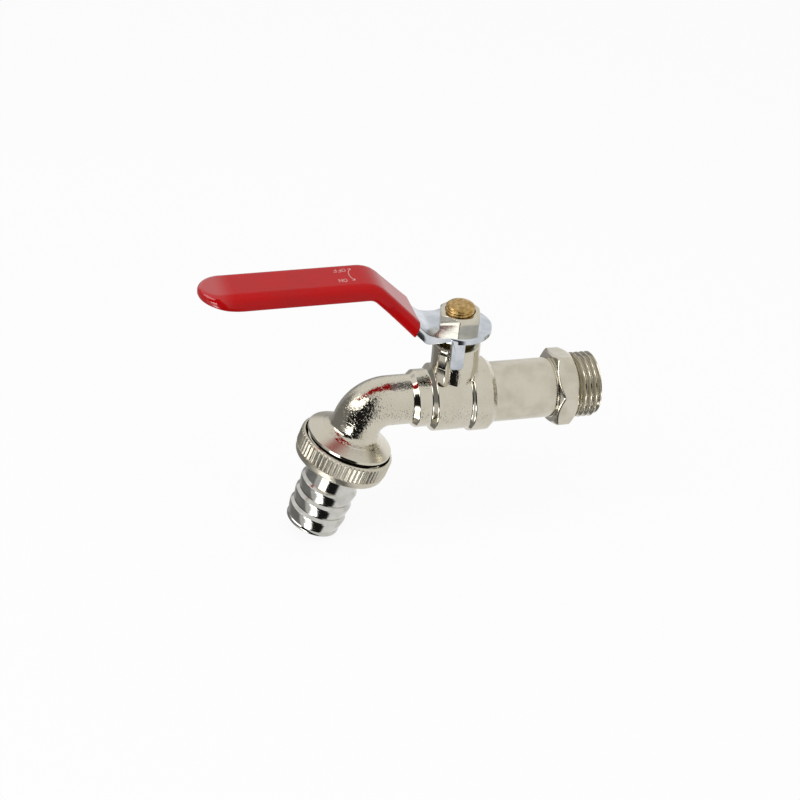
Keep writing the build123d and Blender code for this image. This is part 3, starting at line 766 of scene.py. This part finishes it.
bevel_rows = np.linspace(-hex_thick, 0.2 - hex_thick + hex_bevel, 14)
hex_rows = np.concatenate((bevel_rows, np.linspace(-hex_bevel - 0.2, 0, 14)))
thread_rows = np.arange(thread_start, inlet_end - mouth_bevel, pipe_pitch / 16)
nose = ((nose_start, inlet_bore_r), (nose_start, nose_r), (tube_start, nose_r), (tube_start, tube_r))
tube = ((tube_start, tube_r), (-hex_thick, tube_r), (-hex_thick, hex_face_r))
shoulder = ((0.0, hex_face_r), (0.0, groove_r), (relief_end, groove_r), (thread_start, thread_r))
mouth = (
    (inlet_end - mouth_bevel, thread_r),
    (inlet_end - 0.5 * mouth_bevel, thread_r - 0.25),
    (inlet_end, thread_r - wall_thread_depth),
    (inlet_end, inlet_bore_r),
    (nose_start, inlet_bore_r),
)
inlet_profile = np.vstack(
    (
        drawn(nose, (EDGE, 0), 2.0),
        drawn(tube, EDGE, 1.0)[1:-1],
        straight(hex_rows, hex_corner_r),
        drawn(shoulder, (EDGE, 0.1), 0.5)[1:-1],
        straight(thread_rows, thread_r),
        drawn(mouth, (0.8, 0.4, 0.5), 0.4)[:-1],
    )
)
inlet_grid = turned(inlet_profile, np.zeros(3), ALONG_X, ALONG_Y, INLET_COLUMNS, inlet_shape)
make_piece("inlet_tail_threaded", "body", inlet_nickel, [(inlet_grid, True, True)], ["inlet_tail"])

# %% [markdown]
# The union nut is a ring with 64 finger grooves and a round lower band. Its radius is the plain profile less a groove
# that repeats with the angle. The grooves fade out at the band, where the real nut is smooth.

# %% Union nut
rib_count, rib_depth, band_height, nut_bore_r, nut_rim_r = 64, 0.42, 2.6, 13.55, 14.25
band_r, lip_r, lip_top = union_r - 0.35, 9.1, union_low - 1.6
rib_end = union_low - band_height
NUT_COLUMNS = rib_count * 10


def ribbed(along, radius, angle):
    """Radius less a groove: depth times (1 + cos(count angle))/2 to a power under 1, from rim to band."""
    groove = (0.5 + 0.5 * np.cos(rib_count * angle)) ** 0.7
    here = smooth(union_top + 0.25, union_top + 0.7, along) * smooth(rib_end + 0.02, rib_end - 0.12, along)
    return radius - rib_depth * groove * here * (radius > nut_bore_r + 0.5)


nut_profile = drawn(
    (
        (union_top + 1.2, nut_bore_r),
        (union_top, nut_rim_r),
        (union_top, union_r - 0.7),
        (union_top + 0.7, union_r),
        (rib_end, union_r),
        (rib_end, band_r),
        (union_low, band_r),
        (union_low, lip_r),
        (lip_top, lip_r),
        (lip_top, nut_bore_r),
    ),
    (0.0, 0.1, 0.25, 0.3, 0.12, 0.0, 2.1, 0.3, 0.0, 0.0),
    0.5,
    loop=True,
)
nut_grid = turned(nut_profile, outlet_mid, outlet_way, outlet_across, NUT_COLUMNS, ribbed)
# Painted shade: the bore and inner faces of the nut get -1, which paints them near black.
nut_shaded_inside = (nut_profile[:, 1] < nut_rim_r - 0.05) & (nut_profile[:, 0] < lip_top - 0.1)
nut_shade = np.repeat(np.where(nut_shaded_inside, SHADED_GAP, 0.0), NUT_COLUMNS)
nut_nickel, nut_shells = cast_nickel("nut_nickel", 0.3, 0.02), [(nut_grid, True, True)]
make_piece("union_nut_ribbed", "union_nut", nut_nickel, nut_shells, ["union_nut"], nut_shade)

# %% [markdown]
# The hose tail is turned: a flange that stays inside the nut, a plain barrel, and barbs that are steep on the upper
# side and swell gently on the lower one, so that a hose slides on and stays on.

# %% Hose tail
tail_r, tail_bore_r, flange_thick = 8.7, 7.0, 1.5
barb_first, barb_pitch, barb_r, barb_root_r, barb_rise, barb_land = flange_top + 10.3, 5.05, 9.4, 8.55, 0.9, 0.6
tail_end_r, barb_swell, end_swell = 8.6, 0.1, 0.25
TAIL_COLUMNS, BARBS, BARB_ROWS = 160, 3, 8


def swelling(start, end, swell):
    """Line from start to end, bowed outwards by swell times 4t(1 - t)."""
    share = np.linspace(0, 1, BARB_ROWS)[:, None]
    return np.array(start) + (np.array(end) - start) * share + swell * 4 * share * (1 - share) * np.array((0.0, 1.0))


flange_low = flange_top + flange_thick
barbs = []
for root in barb_first + barb_pitch * np.arange(BARBS):
    land, fall = root + barb_rise, root + barb_rise + barb_land
    crest = ((root, barb_root_r), (land, barb_r), (fall, barb_r), (fall + 0.3, barb_r - 0.06))
    slope = swelling((fall, barb_r), (root + barb_pitch, barb_root_r), barb_swell)
    barbs += [drawn(crest, 0.2, 0.5)[:-1], slope[1:-1]]
flange = (
    (flange_top, tail_bore_r),
    (flange_top, flange_r),
    (flange_low, flange_r),
    (flange_low, tail_r),
    (barb_first, barb_root_r),
)
tail_mouth = (
    (tail_end - 0.1, tail_end_r + 0.02),
    (tail_end, tail_end_r - 0.1),
    (tail_end, tail_bore_r),
    (flange_top, tail_bore_r),
)
tail_profile = np.vstack(
    (
        drawn(flange, (0.2, 0.2, 0.3), 0.6)[:-1],
        *barbs,
        swelling((barb_first + BARBS * barb_pitch, barb_root_r), (tail_end, tail_end_r), end_swell)[:-1],
        drawn(tail_mouth, (0.1, 0.4), 2.0)[1:-1],
    )
)
tail_grid = turned(tail_profile, outlet_mid, outlet_way, outlet_across, TAIL_COLUMNS)
make_piece("hose_tail_barbed", "hose_tail", tail_bright, [(tail_grid, True, True)], ["hose_tail"])

# %% [markdown]
# The stem's end stands through the lever and its nut. It is bare brass with a short thread and a domed, sawn end. The
# nut is a small hexagon with a cone on its top corners. Both are polar surfaces about the stem axis.

# %% Stem and lever nut
plate_top, plate_thick, stem_r, stem_thread_r = 26.35, 2.0, 5.55, 4.4
stem_top, stem_dome, nut_height, nut_width = 32.45, 0.8, 4.6, 12.0
plate_low, nut_flat_angle = plate_top - plate_thick, math.radians(-76.4)
foot_low, foot_top, foot_r, ring_groove_r, ring_grooves = 8.45, 9.8, 6.3, 4.1, ((11.6, 13.5), (15.4, 17.3))
tang_low, tang_top, tang_half_x, tang_half_y = 5.2, 8.5, 1.9, 3.6
nut_seat, nut_chamfer, nut_hole_r, nut_mouth_r = 0.02, 3.4, 4.45, 4.75
STEM_COLUMNS, NUT_HEX_COLUMNS = 96, 192


def stem_shape(along, radius, angle):
    """Plain radius below the lever, a fine screw groove on the threaded end above it."""
    groove = thread_groove(along, angle, 1.0, plate_top + 1.0, stem_top + 0.2)
    return radius - 0.45 * groove * (np.abs(radius - stem_thread_r) < 0.01)


stem_corners = [(foot_low, 0), (foot_low, foot_r), (foot_top, foot_r), (foot_top, stem_r)]
for low, high in ring_grooves:
    stem_corners += [(low, stem_r), (low, ring_groove_r), (high, ring_groove_r), (high, stem_r)]
stem_corners += [(plate_low, stem_r), (plate_low, stem_thread_r)]
stem_rows = np.arange(plate_top, stem_top, 0.08)
dome_top = stem_top + stem_dome
dome = ((stem_top, stem_thread_r), (stem_top + 0.45, 3.9), (dome_top, 2.8), (dome_top, 0))
stem_profile = np.vstack(
    (drawn(stem_corners, 0.0, 2.0), straight(stem_rows, stem_thread_r), drawn(dome, (0.5, 1.2), 0.5))
)
stem_grid = turned(stem_profile, stem_mid, ALONG_Z, ALONG_X, STEM_COLUMNS, stem_shape)
tang_corners = np.array(((-1, -1), (1, -1), (1, 1), (-1, 1))) * (tang_half_x, tang_half_y)
tang_stations = ((tang_low, 0.0), (tang_low, 0.95), (tang_low + 0.2, 1.0), (tang_top, 1.0), (tang_top, 0.0))
tang_outline = rounded(tang_corners, 0.8, loop=True)
tang_grid = block(tang_outline, tang_stations, stem_mid, ALONG_X, ALONG_Y, ALONG_Z)
stem_shells = [(stem_grid, False, True), (tang_grid, False, True)]
make_piece("stem_brass", "lever", stem_brass, stem_shells, ["stem"])


def nut_shape(along, radius, angle):
    """Six flats held under a cone near the top face; the bore keeps its radius."""
    cone = nut_width / 2 - 0.1 + 1.35 * np.maximum(plate_top + nut_height - along, 0)
    hexagon = np.minimum(six_flats(angle[None], nut_flat_angle, nut_width), cone)
    return np.where(radius > nut_width / 2 - 0.2, hexagon, radius)


nut_top = plate_top + nut_height
nut_rows = plate_top + np.concatenate(([nut_seat, 0.1, 1.0, 2.0, 3.0], np.linspace(nut_chamfer, nut_height, 14)))
nut_hole = ((nut_top, 5.0), (nut_top, nut_mouth_r), (nut_top - 0.3, nut_hole_r), (plate_top + nut_seat, nut_hole_r))
lever_nut_profile = np.vstack((straight(nut_rows, nut_width / 2), nut_hole))
lever_nut_grid = turned(lever_nut_profile, stem_mid, ALONG_Z, ALONG_X, NUT_HEX_COLUMNS, nut_shape)
small_nut_nickel, lever_nut_shells = turned_nickel("small_nut_nickel", 0.1), [(lever_nut_grid, True, True)]
make_piece("lever_nut_plated", "lever", small_nut_nickel, lever_nut_shells, ["lever_nut"])

# %% [markdown]
# The lever is pressed from sheet steel: a flat hub, a slope and a channel-shaped grip with a round tip. Seen as a
# surface it is an upturned boat. Each column starts on the middle line, runs out to the edge, rounds it, goes down the
# side, turns under and comes back inside. The columns follow the plan outline from the root, round the tip and back,
# so the two halves meet on the middle line and close. The same function makes the thin steel and the thick vinyl skin.

# %% Upturned boat shell
slope_foot, slope_head, grip_top, lever_tip, tip_top = -10.4, -28.9, 44.4, -79.0, 43.5
root_half, root_end, grip_start, grip_half = 8.9, -13.0, -25.0, 6.6
arm_bend, flange_bend, tip_bend, coat = 8.5, 3.0, 25.0, 1.095
slope_fall = (grip_top - plate_top) / (slope_foot - slope_head)
slope_stretch = math.hypot(1, slope_fall)
flange_depth, slope_depth, flange_foot, flange_fade, tip_depth, tip_taper = 3.9, 3.1, -12.4, -5.5, 1.6, 9.0
hub_side, past_tip = 20.0, lever_tip - 20.0
top_corners = ((hub_side, plate_top), (slope_foot, plate_top), (slope_head, grip_top), (past_tip, tip_top - 0.36))
low_corners = (
    (hub_side, plate_low),
    (flange_fade, plate_low),
    (flange_foot, plate_top + slope_fall * (slope_foot - flange_foot) - slope_depth * slope_stretch),
    (slope_head + (flange_depth - slope_depth * slope_stretch) / slope_fall, grip_top - flange_depth),
    (lever_tip + tip_taper, tip_top + 0.16 - flange_depth),
    (lever_tip - coat, tip_top - tip_depth),
)
top_line = drawn(top_corners, arm_bend, 0.7)[::-1]
low_line = drawn(low_corners, (flange_bend, flange_bend, flange_bend, tip_bend), 0.7)[::-1]
steepness = np.gradient(top_line[:, 1], top_line[:, 0])
SIDE_COLUMNS, TIP_COLUMNS, LIP_COLUMNS, EDGE_ROWS = 90, 48, 5, 8
FLAT_SHARES, WALL_SHARES, LEAN_REACH = np.array(((1.0,), (0.6,), (0.25,))), np.array(((0.5,), (0.0,))), 14


def arm_top(x, skin):
    """Height of the arm's top moved out by skin: the line's height plus skin times sqrt(1 + slope^2)."""
    slope = np.interp(x, top_line[:, 0], steepness)
    return np.interp(x, top_line[:, 0], top_line[:, 1]) + skin * np.sqrt(1 + slope**2)


def boat_outline(root_x, skin):
    """Plan outline from the root along one side, round the tip and back: its points and the middle points they face."""
    tip_middle = lever_tip + grip_half
    x = root_x + (tip_middle - root_x) * np.linspace(0, 1, SIDE_COLUMNS)
    half = np.interp(x, (grip_start, root_end), (grip_half, root_half)) + skin
    turn = np.linspace(0, np.pi, TIP_COLUMNS)[1:-1]
    tip = np.stack((tip_middle - (grip_half + skin) * np.sin(turn), (grip_half + skin) * np.cos(turn)), -1)
    edge = np.vstack((np.stack((x, half), -1), tip, np.stack((x, -half), -1)[::-1]))
    middle_x = np.concatenate((x, np.full(len(tip), tip_middle), x[::-1]))
    return edge, np.stack((middle_x, 0 * middle_x), -1)


def boat_shell(root_x, skin, thick, edge_round, low_round, low_lift, lip, root_lean=0.0):
    """Rows of the boat: out from the middle, round the edge, down, under and back inside; a lip ends the root."""
    edge, middle = boat_outline(root_x, skin)
    width = np.linalg.norm(edge - middle, axis=1)
    inward = (middle - edge) / width[:, None]
    low = np.interp(edge[:, 0], low_line[:, 0], low_line[:, 1]) + low_lift
    depth = arm_top(edge[:, 0], skin) - low
    bend = np.minimum(edge_round, np.maximum(0.55 * depth - 0.3, 0.2))
    quarter = np.linspace(0, np.pi / 2, EDGE_ROWS)[:, None]
    foot = np.minimum(low_round, np.minimum(thick / 2, depth / 3))

    def side_rows(inset, lowering, bend_r, turn_in):
        """One face of the sheet: distance in from the edge and height, from the middle line to the lowest point."""
        flat = FLAT_SHARES * (width - inset - bend_r) + inset + bend_r
        flat = np.vstack((flat, inset + bend_r + 0.1 + 0 * width))
        place = edge + inward * flat[:, :, None]
        flat_up = arm_top(place[:, :, 0], skin) - lowering
        arc_in = inset + bend_r * (1 - np.sin(quarter))
        arc_x = (edge + inward * arc_in[:, :, None])[:, :, 0]
        arc_up = arm_top(arc_x, skin) - lowering - bend_r * (1 - np.cos(quarter))
        wall_up = low + foot + WALL_SHARES * np.maximum(arc_up[-1] - low - foot, 0)
        turn = np.linspace(0, np.pi / 2, 4)[1:, None]
        foot_in = inset + turn_in * thick / 2 * (1 - np.cos(turn))
        foot_up = low + foot * (1 - np.sin(turn))
        into = np.vstack((flat, arc_in, inset + 0 * wall_up, foot_in))
        up = np.vstack((flat_up, arc_up, wall_up, foot_up))
        return np.dstack((np.broadcast_to(edge, (len(up), *edge.shape)) + inward * into[:, :, None], up))

    outer = side_rows(0 * width, 0.0, bend, 1.0)
    hollow = np.minimum(thick, depth - 0.02)
    inner = side_rows(thick + 0 * width, hollow, np.maximum(bend - thick / 2, 0.2), -1.0)
    inner[:, :, 2] = np.maximum(inner[:, :, 2], np.minimum(low, outer[:, :, 2]))
    between = (outer + inner) / 2
    close = np.linspace(1, 0, LIP_COLUMNS)[:, None, None] * np.pi / 2
    bulge = np.array((lip, 0.0, 0.0)) * np.sin(close)

    def with_lips(side):
        """Adds columns at both root ends that close on the sheet's middle and bulge out towards the hub."""
        first, last = side[:, :1].swapaxes(0, 1), side[:, -1:].swapaxes(0, 1)
        first_mid, last_mid = between[:, :1].swapaxes(0, 1), between[:, -1:].swapaxes(0, 1)
        front = first_mid + (first - first_mid) * np.cos(close) + bulge
        rear = last_mid + (last - last_mid) * np.cos(close[::-1]) + bulge[::-1]
        return np.concatenate((front[:-1].swapaxes(0, 1), side, rear[1:].swapaxes(0, 1)), 1)

    grid = np.concatenate((with_lips(outer), with_lips(inner)[::-1]))
    near_root = smooth(root_x - LEAN_REACH, root_x, grid[:, :, 0])
    slide = near_root * (grid[:, :, 2] - arm_top(np.full(1, root_x), skin)) * math.tan(root_lean)
    grid[:, :, 0] += slide
    grid[:, :, 2] -= slide * slope_fall
    return grid + stem_mid


# %% [markdown]
# The steel shows only between the hub and the sleeve, but it runs on inside to the tip, a little shallower, so that
# nothing is hollow where the vinyl ends. The hub is a plain washer with a soft rim, and two tabs bent down from it
# stop against the lug at the ends of the quarter turn.

# %% Lever of pressed steel
hub_r, tab_angle, tab_twist, tab_half, tab_low, tab_corner = 10.2, 108.4, 16.0, 2.15, 15.5, 1.2
arm_grid = boat_shell(-2.0, -0.03, plate_thick, 1.1, 0.35, 0.6, 0.2)
hub_hole_r, hub_recess_r, hub_recess, tab_top, HUB_COLUMNS = 4.7, 5.6, plate_top - 0.6, plate_top - 0.5, 160
hub_profile = drawn(
    (
        (plate_top, hub_hole_r),
        (plate_top, hub_r),
        (plate_low, hub_r),
        (plate_low, hub_recess_r),
        (hub_recess, hub_recess_r),
        (hub_recess, hub_hole_r),
    ),
    (0.1, 0.45, 0.3, 0.1, 0.0, 0.0),
    1.0,
    loop=True,
)
hub_grid = turned(hub_profile, stem_mid, ALONG_Z, ALONG_X, HUB_COLUMNS)
tab_outline = drawn(
    ((-tab_half, tab_low), (tab_half, tab_low), (tab_half, tab_top), (-tab_half, tab_top)),
    (tab_corner, tab_corner, 0.3, 0.3),
    1.0,
    loop=True,
)
tab_stations = ((0, 0), (0, 0.94), (0.1, 0.98), (0.3, 1), (1.6, 1), (1.85, 0.98), (1.97, 0.94), (1.97, 0))
lever_shells = [(arm_grid, False, False), (hub_grid, True, True)]
for side in (1, -1):
    place, facing = side * math.radians(tab_angle), side * math.radians(tab_angle - tab_twist)
    tab_foot = stem_mid + (hub_r - plate_thick) * np.array((math.cos(place), math.sin(place), 0.0))
    tab_out = np.array((math.cos(facing), math.sin(facing), 0.0))
    tab_across = np.cross(ALONG_Z, tab_out)
    tab_grid = block(tab_outline, tab_stations, tab_foot, tab_across, ALONG_Z, tab_out)
    lever_shells.append((tab_grid, False, True))
make_piece("lever_pressed", "lever", lever_zinc, lever_shells, ["lever"])

# %% [markdown]
# The sleeve is the same boat with a thicker skin: vinyl above the steel, round its lower edges and inside the channel,
# as dipping leaves it. Its root end leans along the slope, because the lever was dipped tip first and hung at a slant.

# %% Red vinyl sleeve
inner_coat, under_coat, sleeve_foot, sleeve_lean = 0.6, 0.5, -15.0, math.radians(15)
sleeve_thick, sleeve_edge, sleeve_hem, sleeve_lip = coat + plate_thick + inner_coat, 2.4, 1.3, 0.25
sleeve_grid = boat_shell(
    sleeve_foot, coat, sleeve_thick, sleeve_edge, sleeve_hem, -under_coat, sleeve_lip, sleeve_lean
)
make_piece("grip_sleeve_dipped", "lever", grip_vinyl, [(sleeve_grid, False, False)], ["grip_sleeve"])

# %% [markdown]
# Small white marks near the bend say which way is on and which is off, with a curved arrow between them. They read
# from the far side of the tap. Each letter is a few strokes, and each stroke is a flat oval section carried along a
# line on the sleeve's top, so it is a real thin film that rides with the lever.

# %% Printed marks
STROKE, FILM, letter_width, letter_height, letter_step = 0.24, 0.012, 0.95, 1.75, 1.45
arrow_x, arrow_y, arrow_wide, arrow_tall, arrow_half, barb_length = -32.6, 0.4, 2.9, 4.4, math.radians(52), 0.95
off_x, off_y, on_x, on_y = -36.0, 4.1, -36.8, -1.9
oval = np.linspace(0, 2 * np.pi, 10, endpoint=False)


def stroke(line):
    """Oval of half-width STROKE/2 and height FILM along a line on the sleeve's top; its ends close in poles."""
    line = held(np.array(line, float), 0.25)
    step = np.gradient(line, axis=0)
    side = np.stack((-step[:, 1], step[:, 0]), -1) / np.linalg.norm(step, axis=1)[:, None]
    swell = np.concatenate(([0.0], np.ones(len(line)), [0.0]))[:, None]
    line, side = np.vstack((line[:1], line, line[-1:])), np.vstack((side[:1], side, side[-1:]))
    plan = line[:, None] + side[:, None] * (0.5 * STROKE * np.cos(oval) * swell)[:, :, None]
    up = arm_top(plan[:, :, 0], coat) + FILM * (0.6 + np.sin(oval) * swell)
    return np.dstack((plan, up)) + stem_mid, False, True


ring = np.linspace(0, 2 * np.pi, 19)
letters = {
    "O": [np.stack((0.5 + 0.5 * np.cos(ring), 0.5 + 0.5 * np.sin(ring)), -1)],
    "N": [((0, 0), (0, 1)), ((0, 1), (1, 0)), ((1, 0), (1, 1))],
    "F": [((0, 0), (0, 1)), ((0, 1), (1, 1)), ((0, 0.5), (0.8, 0.5))],
}


def word(letters_used, start_x, base_y):
    """Strokes of a word whose right is -X and whose top is -Y, so that it reads from the +Y side."""
    shells = []
    for place, letter in enumerate(letters_used):
        for line in letters[letter]:
            across, up = np.array(line, float).T
            x = start_x - (place * letter_step + across) * letter_width
            shells.append(stroke(np.stack((x, base_y - up * letter_height), -1)))
    return shells


arrow_angle = np.linspace(-arrow_half, arrow_half, 15)
arrow = np.stack((arrow_x - arrow_wide * np.cos(arrow_angle), arrow_y + arrow_tall * np.sin(arrow_angle)), -1)
print_shells = word("OFF", off_x, off_y) + word("ON", on_x, on_y) + [stroke(arrow)]
for tip, turn in ((arrow[0], 1.0), (arrow[-1], -1.0)):
    for barb in ((-barb_length, 0.1 * turn), (-0.05, barb_length * turn)):
        print_shells.append(stroke((tip, tip + barb)))
make_piece("lever_print", "lever", white_print, print_shells)

# %% [markdown]
# The tap is shown on a white table in soft light. The table's colour and a share of white glow for the camera make it
# white, so the lamps stay at a plain level and the shadow stays on the table. Polished metal shows what stands round
# it, so the sky is a studio tent: pale on the wall side, dark towards the camera, with white cards and lamps on the
# spout's side. Without something dark to mirror, plated metal looks like grey plastic.

# %% White table
def table_finish():
    """Matt white table that glows for the camera, with faint paper grain."""
    material, ruler = start_finish("white_table")
    grain = speckle(ruler, 0.5)
    colour = grain.blend(rgb(250, 250, 250), rgb(246, 246, 246))
    matt = ruler.node("ShaderNodeBsdfDiffuse", sockets={"Color": colour})
    glow = ruler.node("ShaderNodeEmission", sockets={"Color": (1.0, 1.0, 1.0, 1.0), "Strength": 1.0})
    share = ruler.node("ShaderNodeLightPath", out=0) * TABLE_GLOW
    shader = ruler.node("ShaderNodeMixShader", sockets={0: share, 1: matt, 2: glow})
    ruler.node("ShaderNodeOutputMaterial", sockets={"Surface": shader})
    return material


low, high = cad_box
TABLE_HALF, TABLE_GLOW = 4.0, 0.92
table_mesh = bpy.data.meshes.new("table")
table_corners = np.array(((-1, -1), (1, -1), (1, 1), (-1, 1))) * TABLE_HALF
table_mesh.from_pydata(np.column_stack((table_corners, np.full(4, low.z))), [], [(0, 1, 2, 3)])
table_mesh.materials.append(table_finish())
table = bpy.data.objects.new("table", table_mesh)
bpy.context.scene.collection.objects.link(table)
table.visible_glossy = False
print("table at", round(low.z, 4), "m")

# %% [markdown]
# The tent is painted on the sky by compass bearing and height, both in degrees: bearing 0 is straight in front of the
# tap, positive towards the inlet. Each card or flag is a soft-edged patch. Mirrors see the patches, matt surfaces see
# an even tent, and the camera sees plain white.

# %% Studio tent
TENT, PALE, GLARE, BACK, GREY, BLACK = 0.41, 0.86, 1.0, 0.36, 0.22, 0.012
CARD, KICK, LAMP, BULB = 0.65, 1.7, 3.0, 6.0
FLAG_LEAN = 0.35
CARDS = (  # left, right, bottom and top, softness of the edge, level
    (164, 200, -45, 8, 6, BACK),  # grey wall straight behind
    (118, 157, -28, 14, 5, GLARE),  # white wall behind the inlet
    (-200, -140, -45, 8, 8, BACK),  # grey wall past straight behind
    (-150, -50, -80, 26, 8, GREY),  # dim room on the spout's side
    (-68, -4, -85, 58, 5, BLACK),  # black flag by the camera, which leans
    (-86, -56, -57, -9, 4, CARD),  # pale card beside the flag
    (-62, -37, -57, -10, 3, KICK),  # bright card low in front
    (-112, -48, 26, 51, 3, LAMP),  # lamp above the spout
    (-62, -37, -23, -13, 2, BULB),  # bright strip at the card's top
    (-66, -42, -55, -42, 2, BULB),  # bright strip at the card's foot
)


def patch(bearing, height, left, right, bottom, top, soft):
    """1 inside a box of bearings and heights, falling smoothly to 0 over soft degrees at its edges."""
    inside = bearing.ramp(left - soft, left + soft) * (1 - bearing.ramp(right - soft, right + soft))
    return inside * height.ramp(bottom - soft, bottom + soft) * (1 - height.ramp(top - soft, top + soft))


def tent_sky():
    """World by kind of ray: white for the camera, cards and flags for mirrors, an even tent for the rest."""
    world = bpy.data.worlds.new("studio_tent")
    world.use_nodes = True
    world.node_tree.nodes.clear()
    wire = Wire(world.node_tree)
    way = wire.node("ShaderNodeTexCoord", out=0)
    x, y, z = (wire.node("ShaderNodeSeparateXYZ", sockets={0: way}, out=k) for k in range(3))
    bearing = wire.math("ARCTAN2", x, 0 - y) * math.degrees(1)
    height = wire.math("ARCSINE", z) * math.degrees(1)
    leaning = bearing + height * FLAG_LEAN
    light = wire.math("ADD", PALE, 0.0)
    for left, right, bottom, top, soft, level in CARDS:
        share = patch(leaning if level == BLACK else bearing, height, left, right, bottom, top, soft)
        light = light * (1 - share) + share * level
    camera_ray = wire.node("ShaderNodeLightPath", out=0)
    mirror_ray = wire.node("ShaderNodeLightPath", out=3)
    light = light * mirror_ray + (1 - mirror_ray) * TENT
    light = light * (1 - camera_ray) + camera_ray
    shader = wire.node("ShaderNodeBackground", sockets={"Color": (1.0, 1.0, 1.0, 1.0), "Strength": light})
    wire.node("ShaderNodeOutputWorld", sockets={"Surface": shader})
    return world


bpy.context.scene.world = tent_sky()
print("tent level", TENT, "pale side", PALE, "lamp card", LAMP)

# %% [markdown]
# Two lamps give the soft shading: a large box high on the spout's side and a larger one overhead. Mirrors don't see
# them because the cards of the tent already stand for them.

# %% Lamps
def softbox(name, bearing, height, distance, width, depth, power):
    """Rectangular lamp at a bearing and height from the tap's middle, facing it; lengths in metres."""
    across, raised = math.radians(bearing), math.radians(height)
    away = Vector((math.sin(across) * math.cos(raised), -math.cos(across) * math.cos(raised), math.sin(raised)))
    lamp = bpy.data.lights.new(name, "AREA")
    lamp.shape, lamp.size, lamp.size_y, lamp.energy = "RECTANGLE", width, depth, power
    box = bpy.data.objects.new(name, lamp)
    facing = away.to_track_quat("Z", "Y").to_matrix().to_4x4()
    box.matrix_world = Matrix.Translation(tap_middle + away * distance) @ facing
    box.visible_glossy = False
    bpy.context.scene.collection.objects.link(box)


tap_middle = (Vector(low) + Vector(high)) / 2
softbox("side_box", bearing=-70, height=45, distance=0.9, width=0.6, depth=0.5, power=2.4)
softbox("top_box", bearing=20, height=75, distance=1.0, width=0.9, depth=0.9, power=3.3)
print("two soft lamps round", tuple(round(v, 3) for v in tap_middle))

# %% [markdown]
# The camera stands where the photograph was taken: in front, a little to the spout's side and above, with a long lens.
# Its place was worked out by fitting some ninety measured points of the part to the picture, and the small roll of the
# hand-held view comes from the same fit.

# %% Camera
cam_azimuth, cam_elevation, cam_roll = map(math.radians, (-17.62, 33.27, 5.01))
cam_distance, cam_target, cam_lens, cam_sensor = 0.480, Vector((-0.05543, 0.0, -0.0003)), 69.22, 36.0
back = Vector(
    (
        math.sin(cam_azimuth) * math.cos(cam_elevation),
        -math.cos(cam_azimuth) * math.cos(cam_elevation),
        math.sin(cam_elevation),
    )
)
level_right = Vector((0, 0, 1)).cross(back).normalized()
level_up = back.cross(level_right)
right = math.cos(cam_roll) * level_right + math.sin(cam_roll) * level_up
up = math.cos(cam_roll) * level_up - math.sin(cam_roll) * level_right
lens = bpy.data.cameras.new("photo_camera")
lens.lens, lens.sensor_width = cam_lens, cam_sensor
camera = bpy.data.objects.new("photo_camera", lens)
turn = Matrix((right, up, back)).transposed().to_4x4()
camera.matrix_world = Matrix.Translation(cam_target + back * cam_distance) @ turn
bpy.context.scene.collection.objects.link(camera)
bpy.context.scene.camera = camera
bpy.context.scene.view_settings.view_transform = "Standard"
print("camera at", tuple(round(v, 5) for v in camera.matrix_world.translation))

# %% [markdown]
# Last, the view layer is brought up to date.

# %% Update the view layer
bpy.context.view_layer.update()
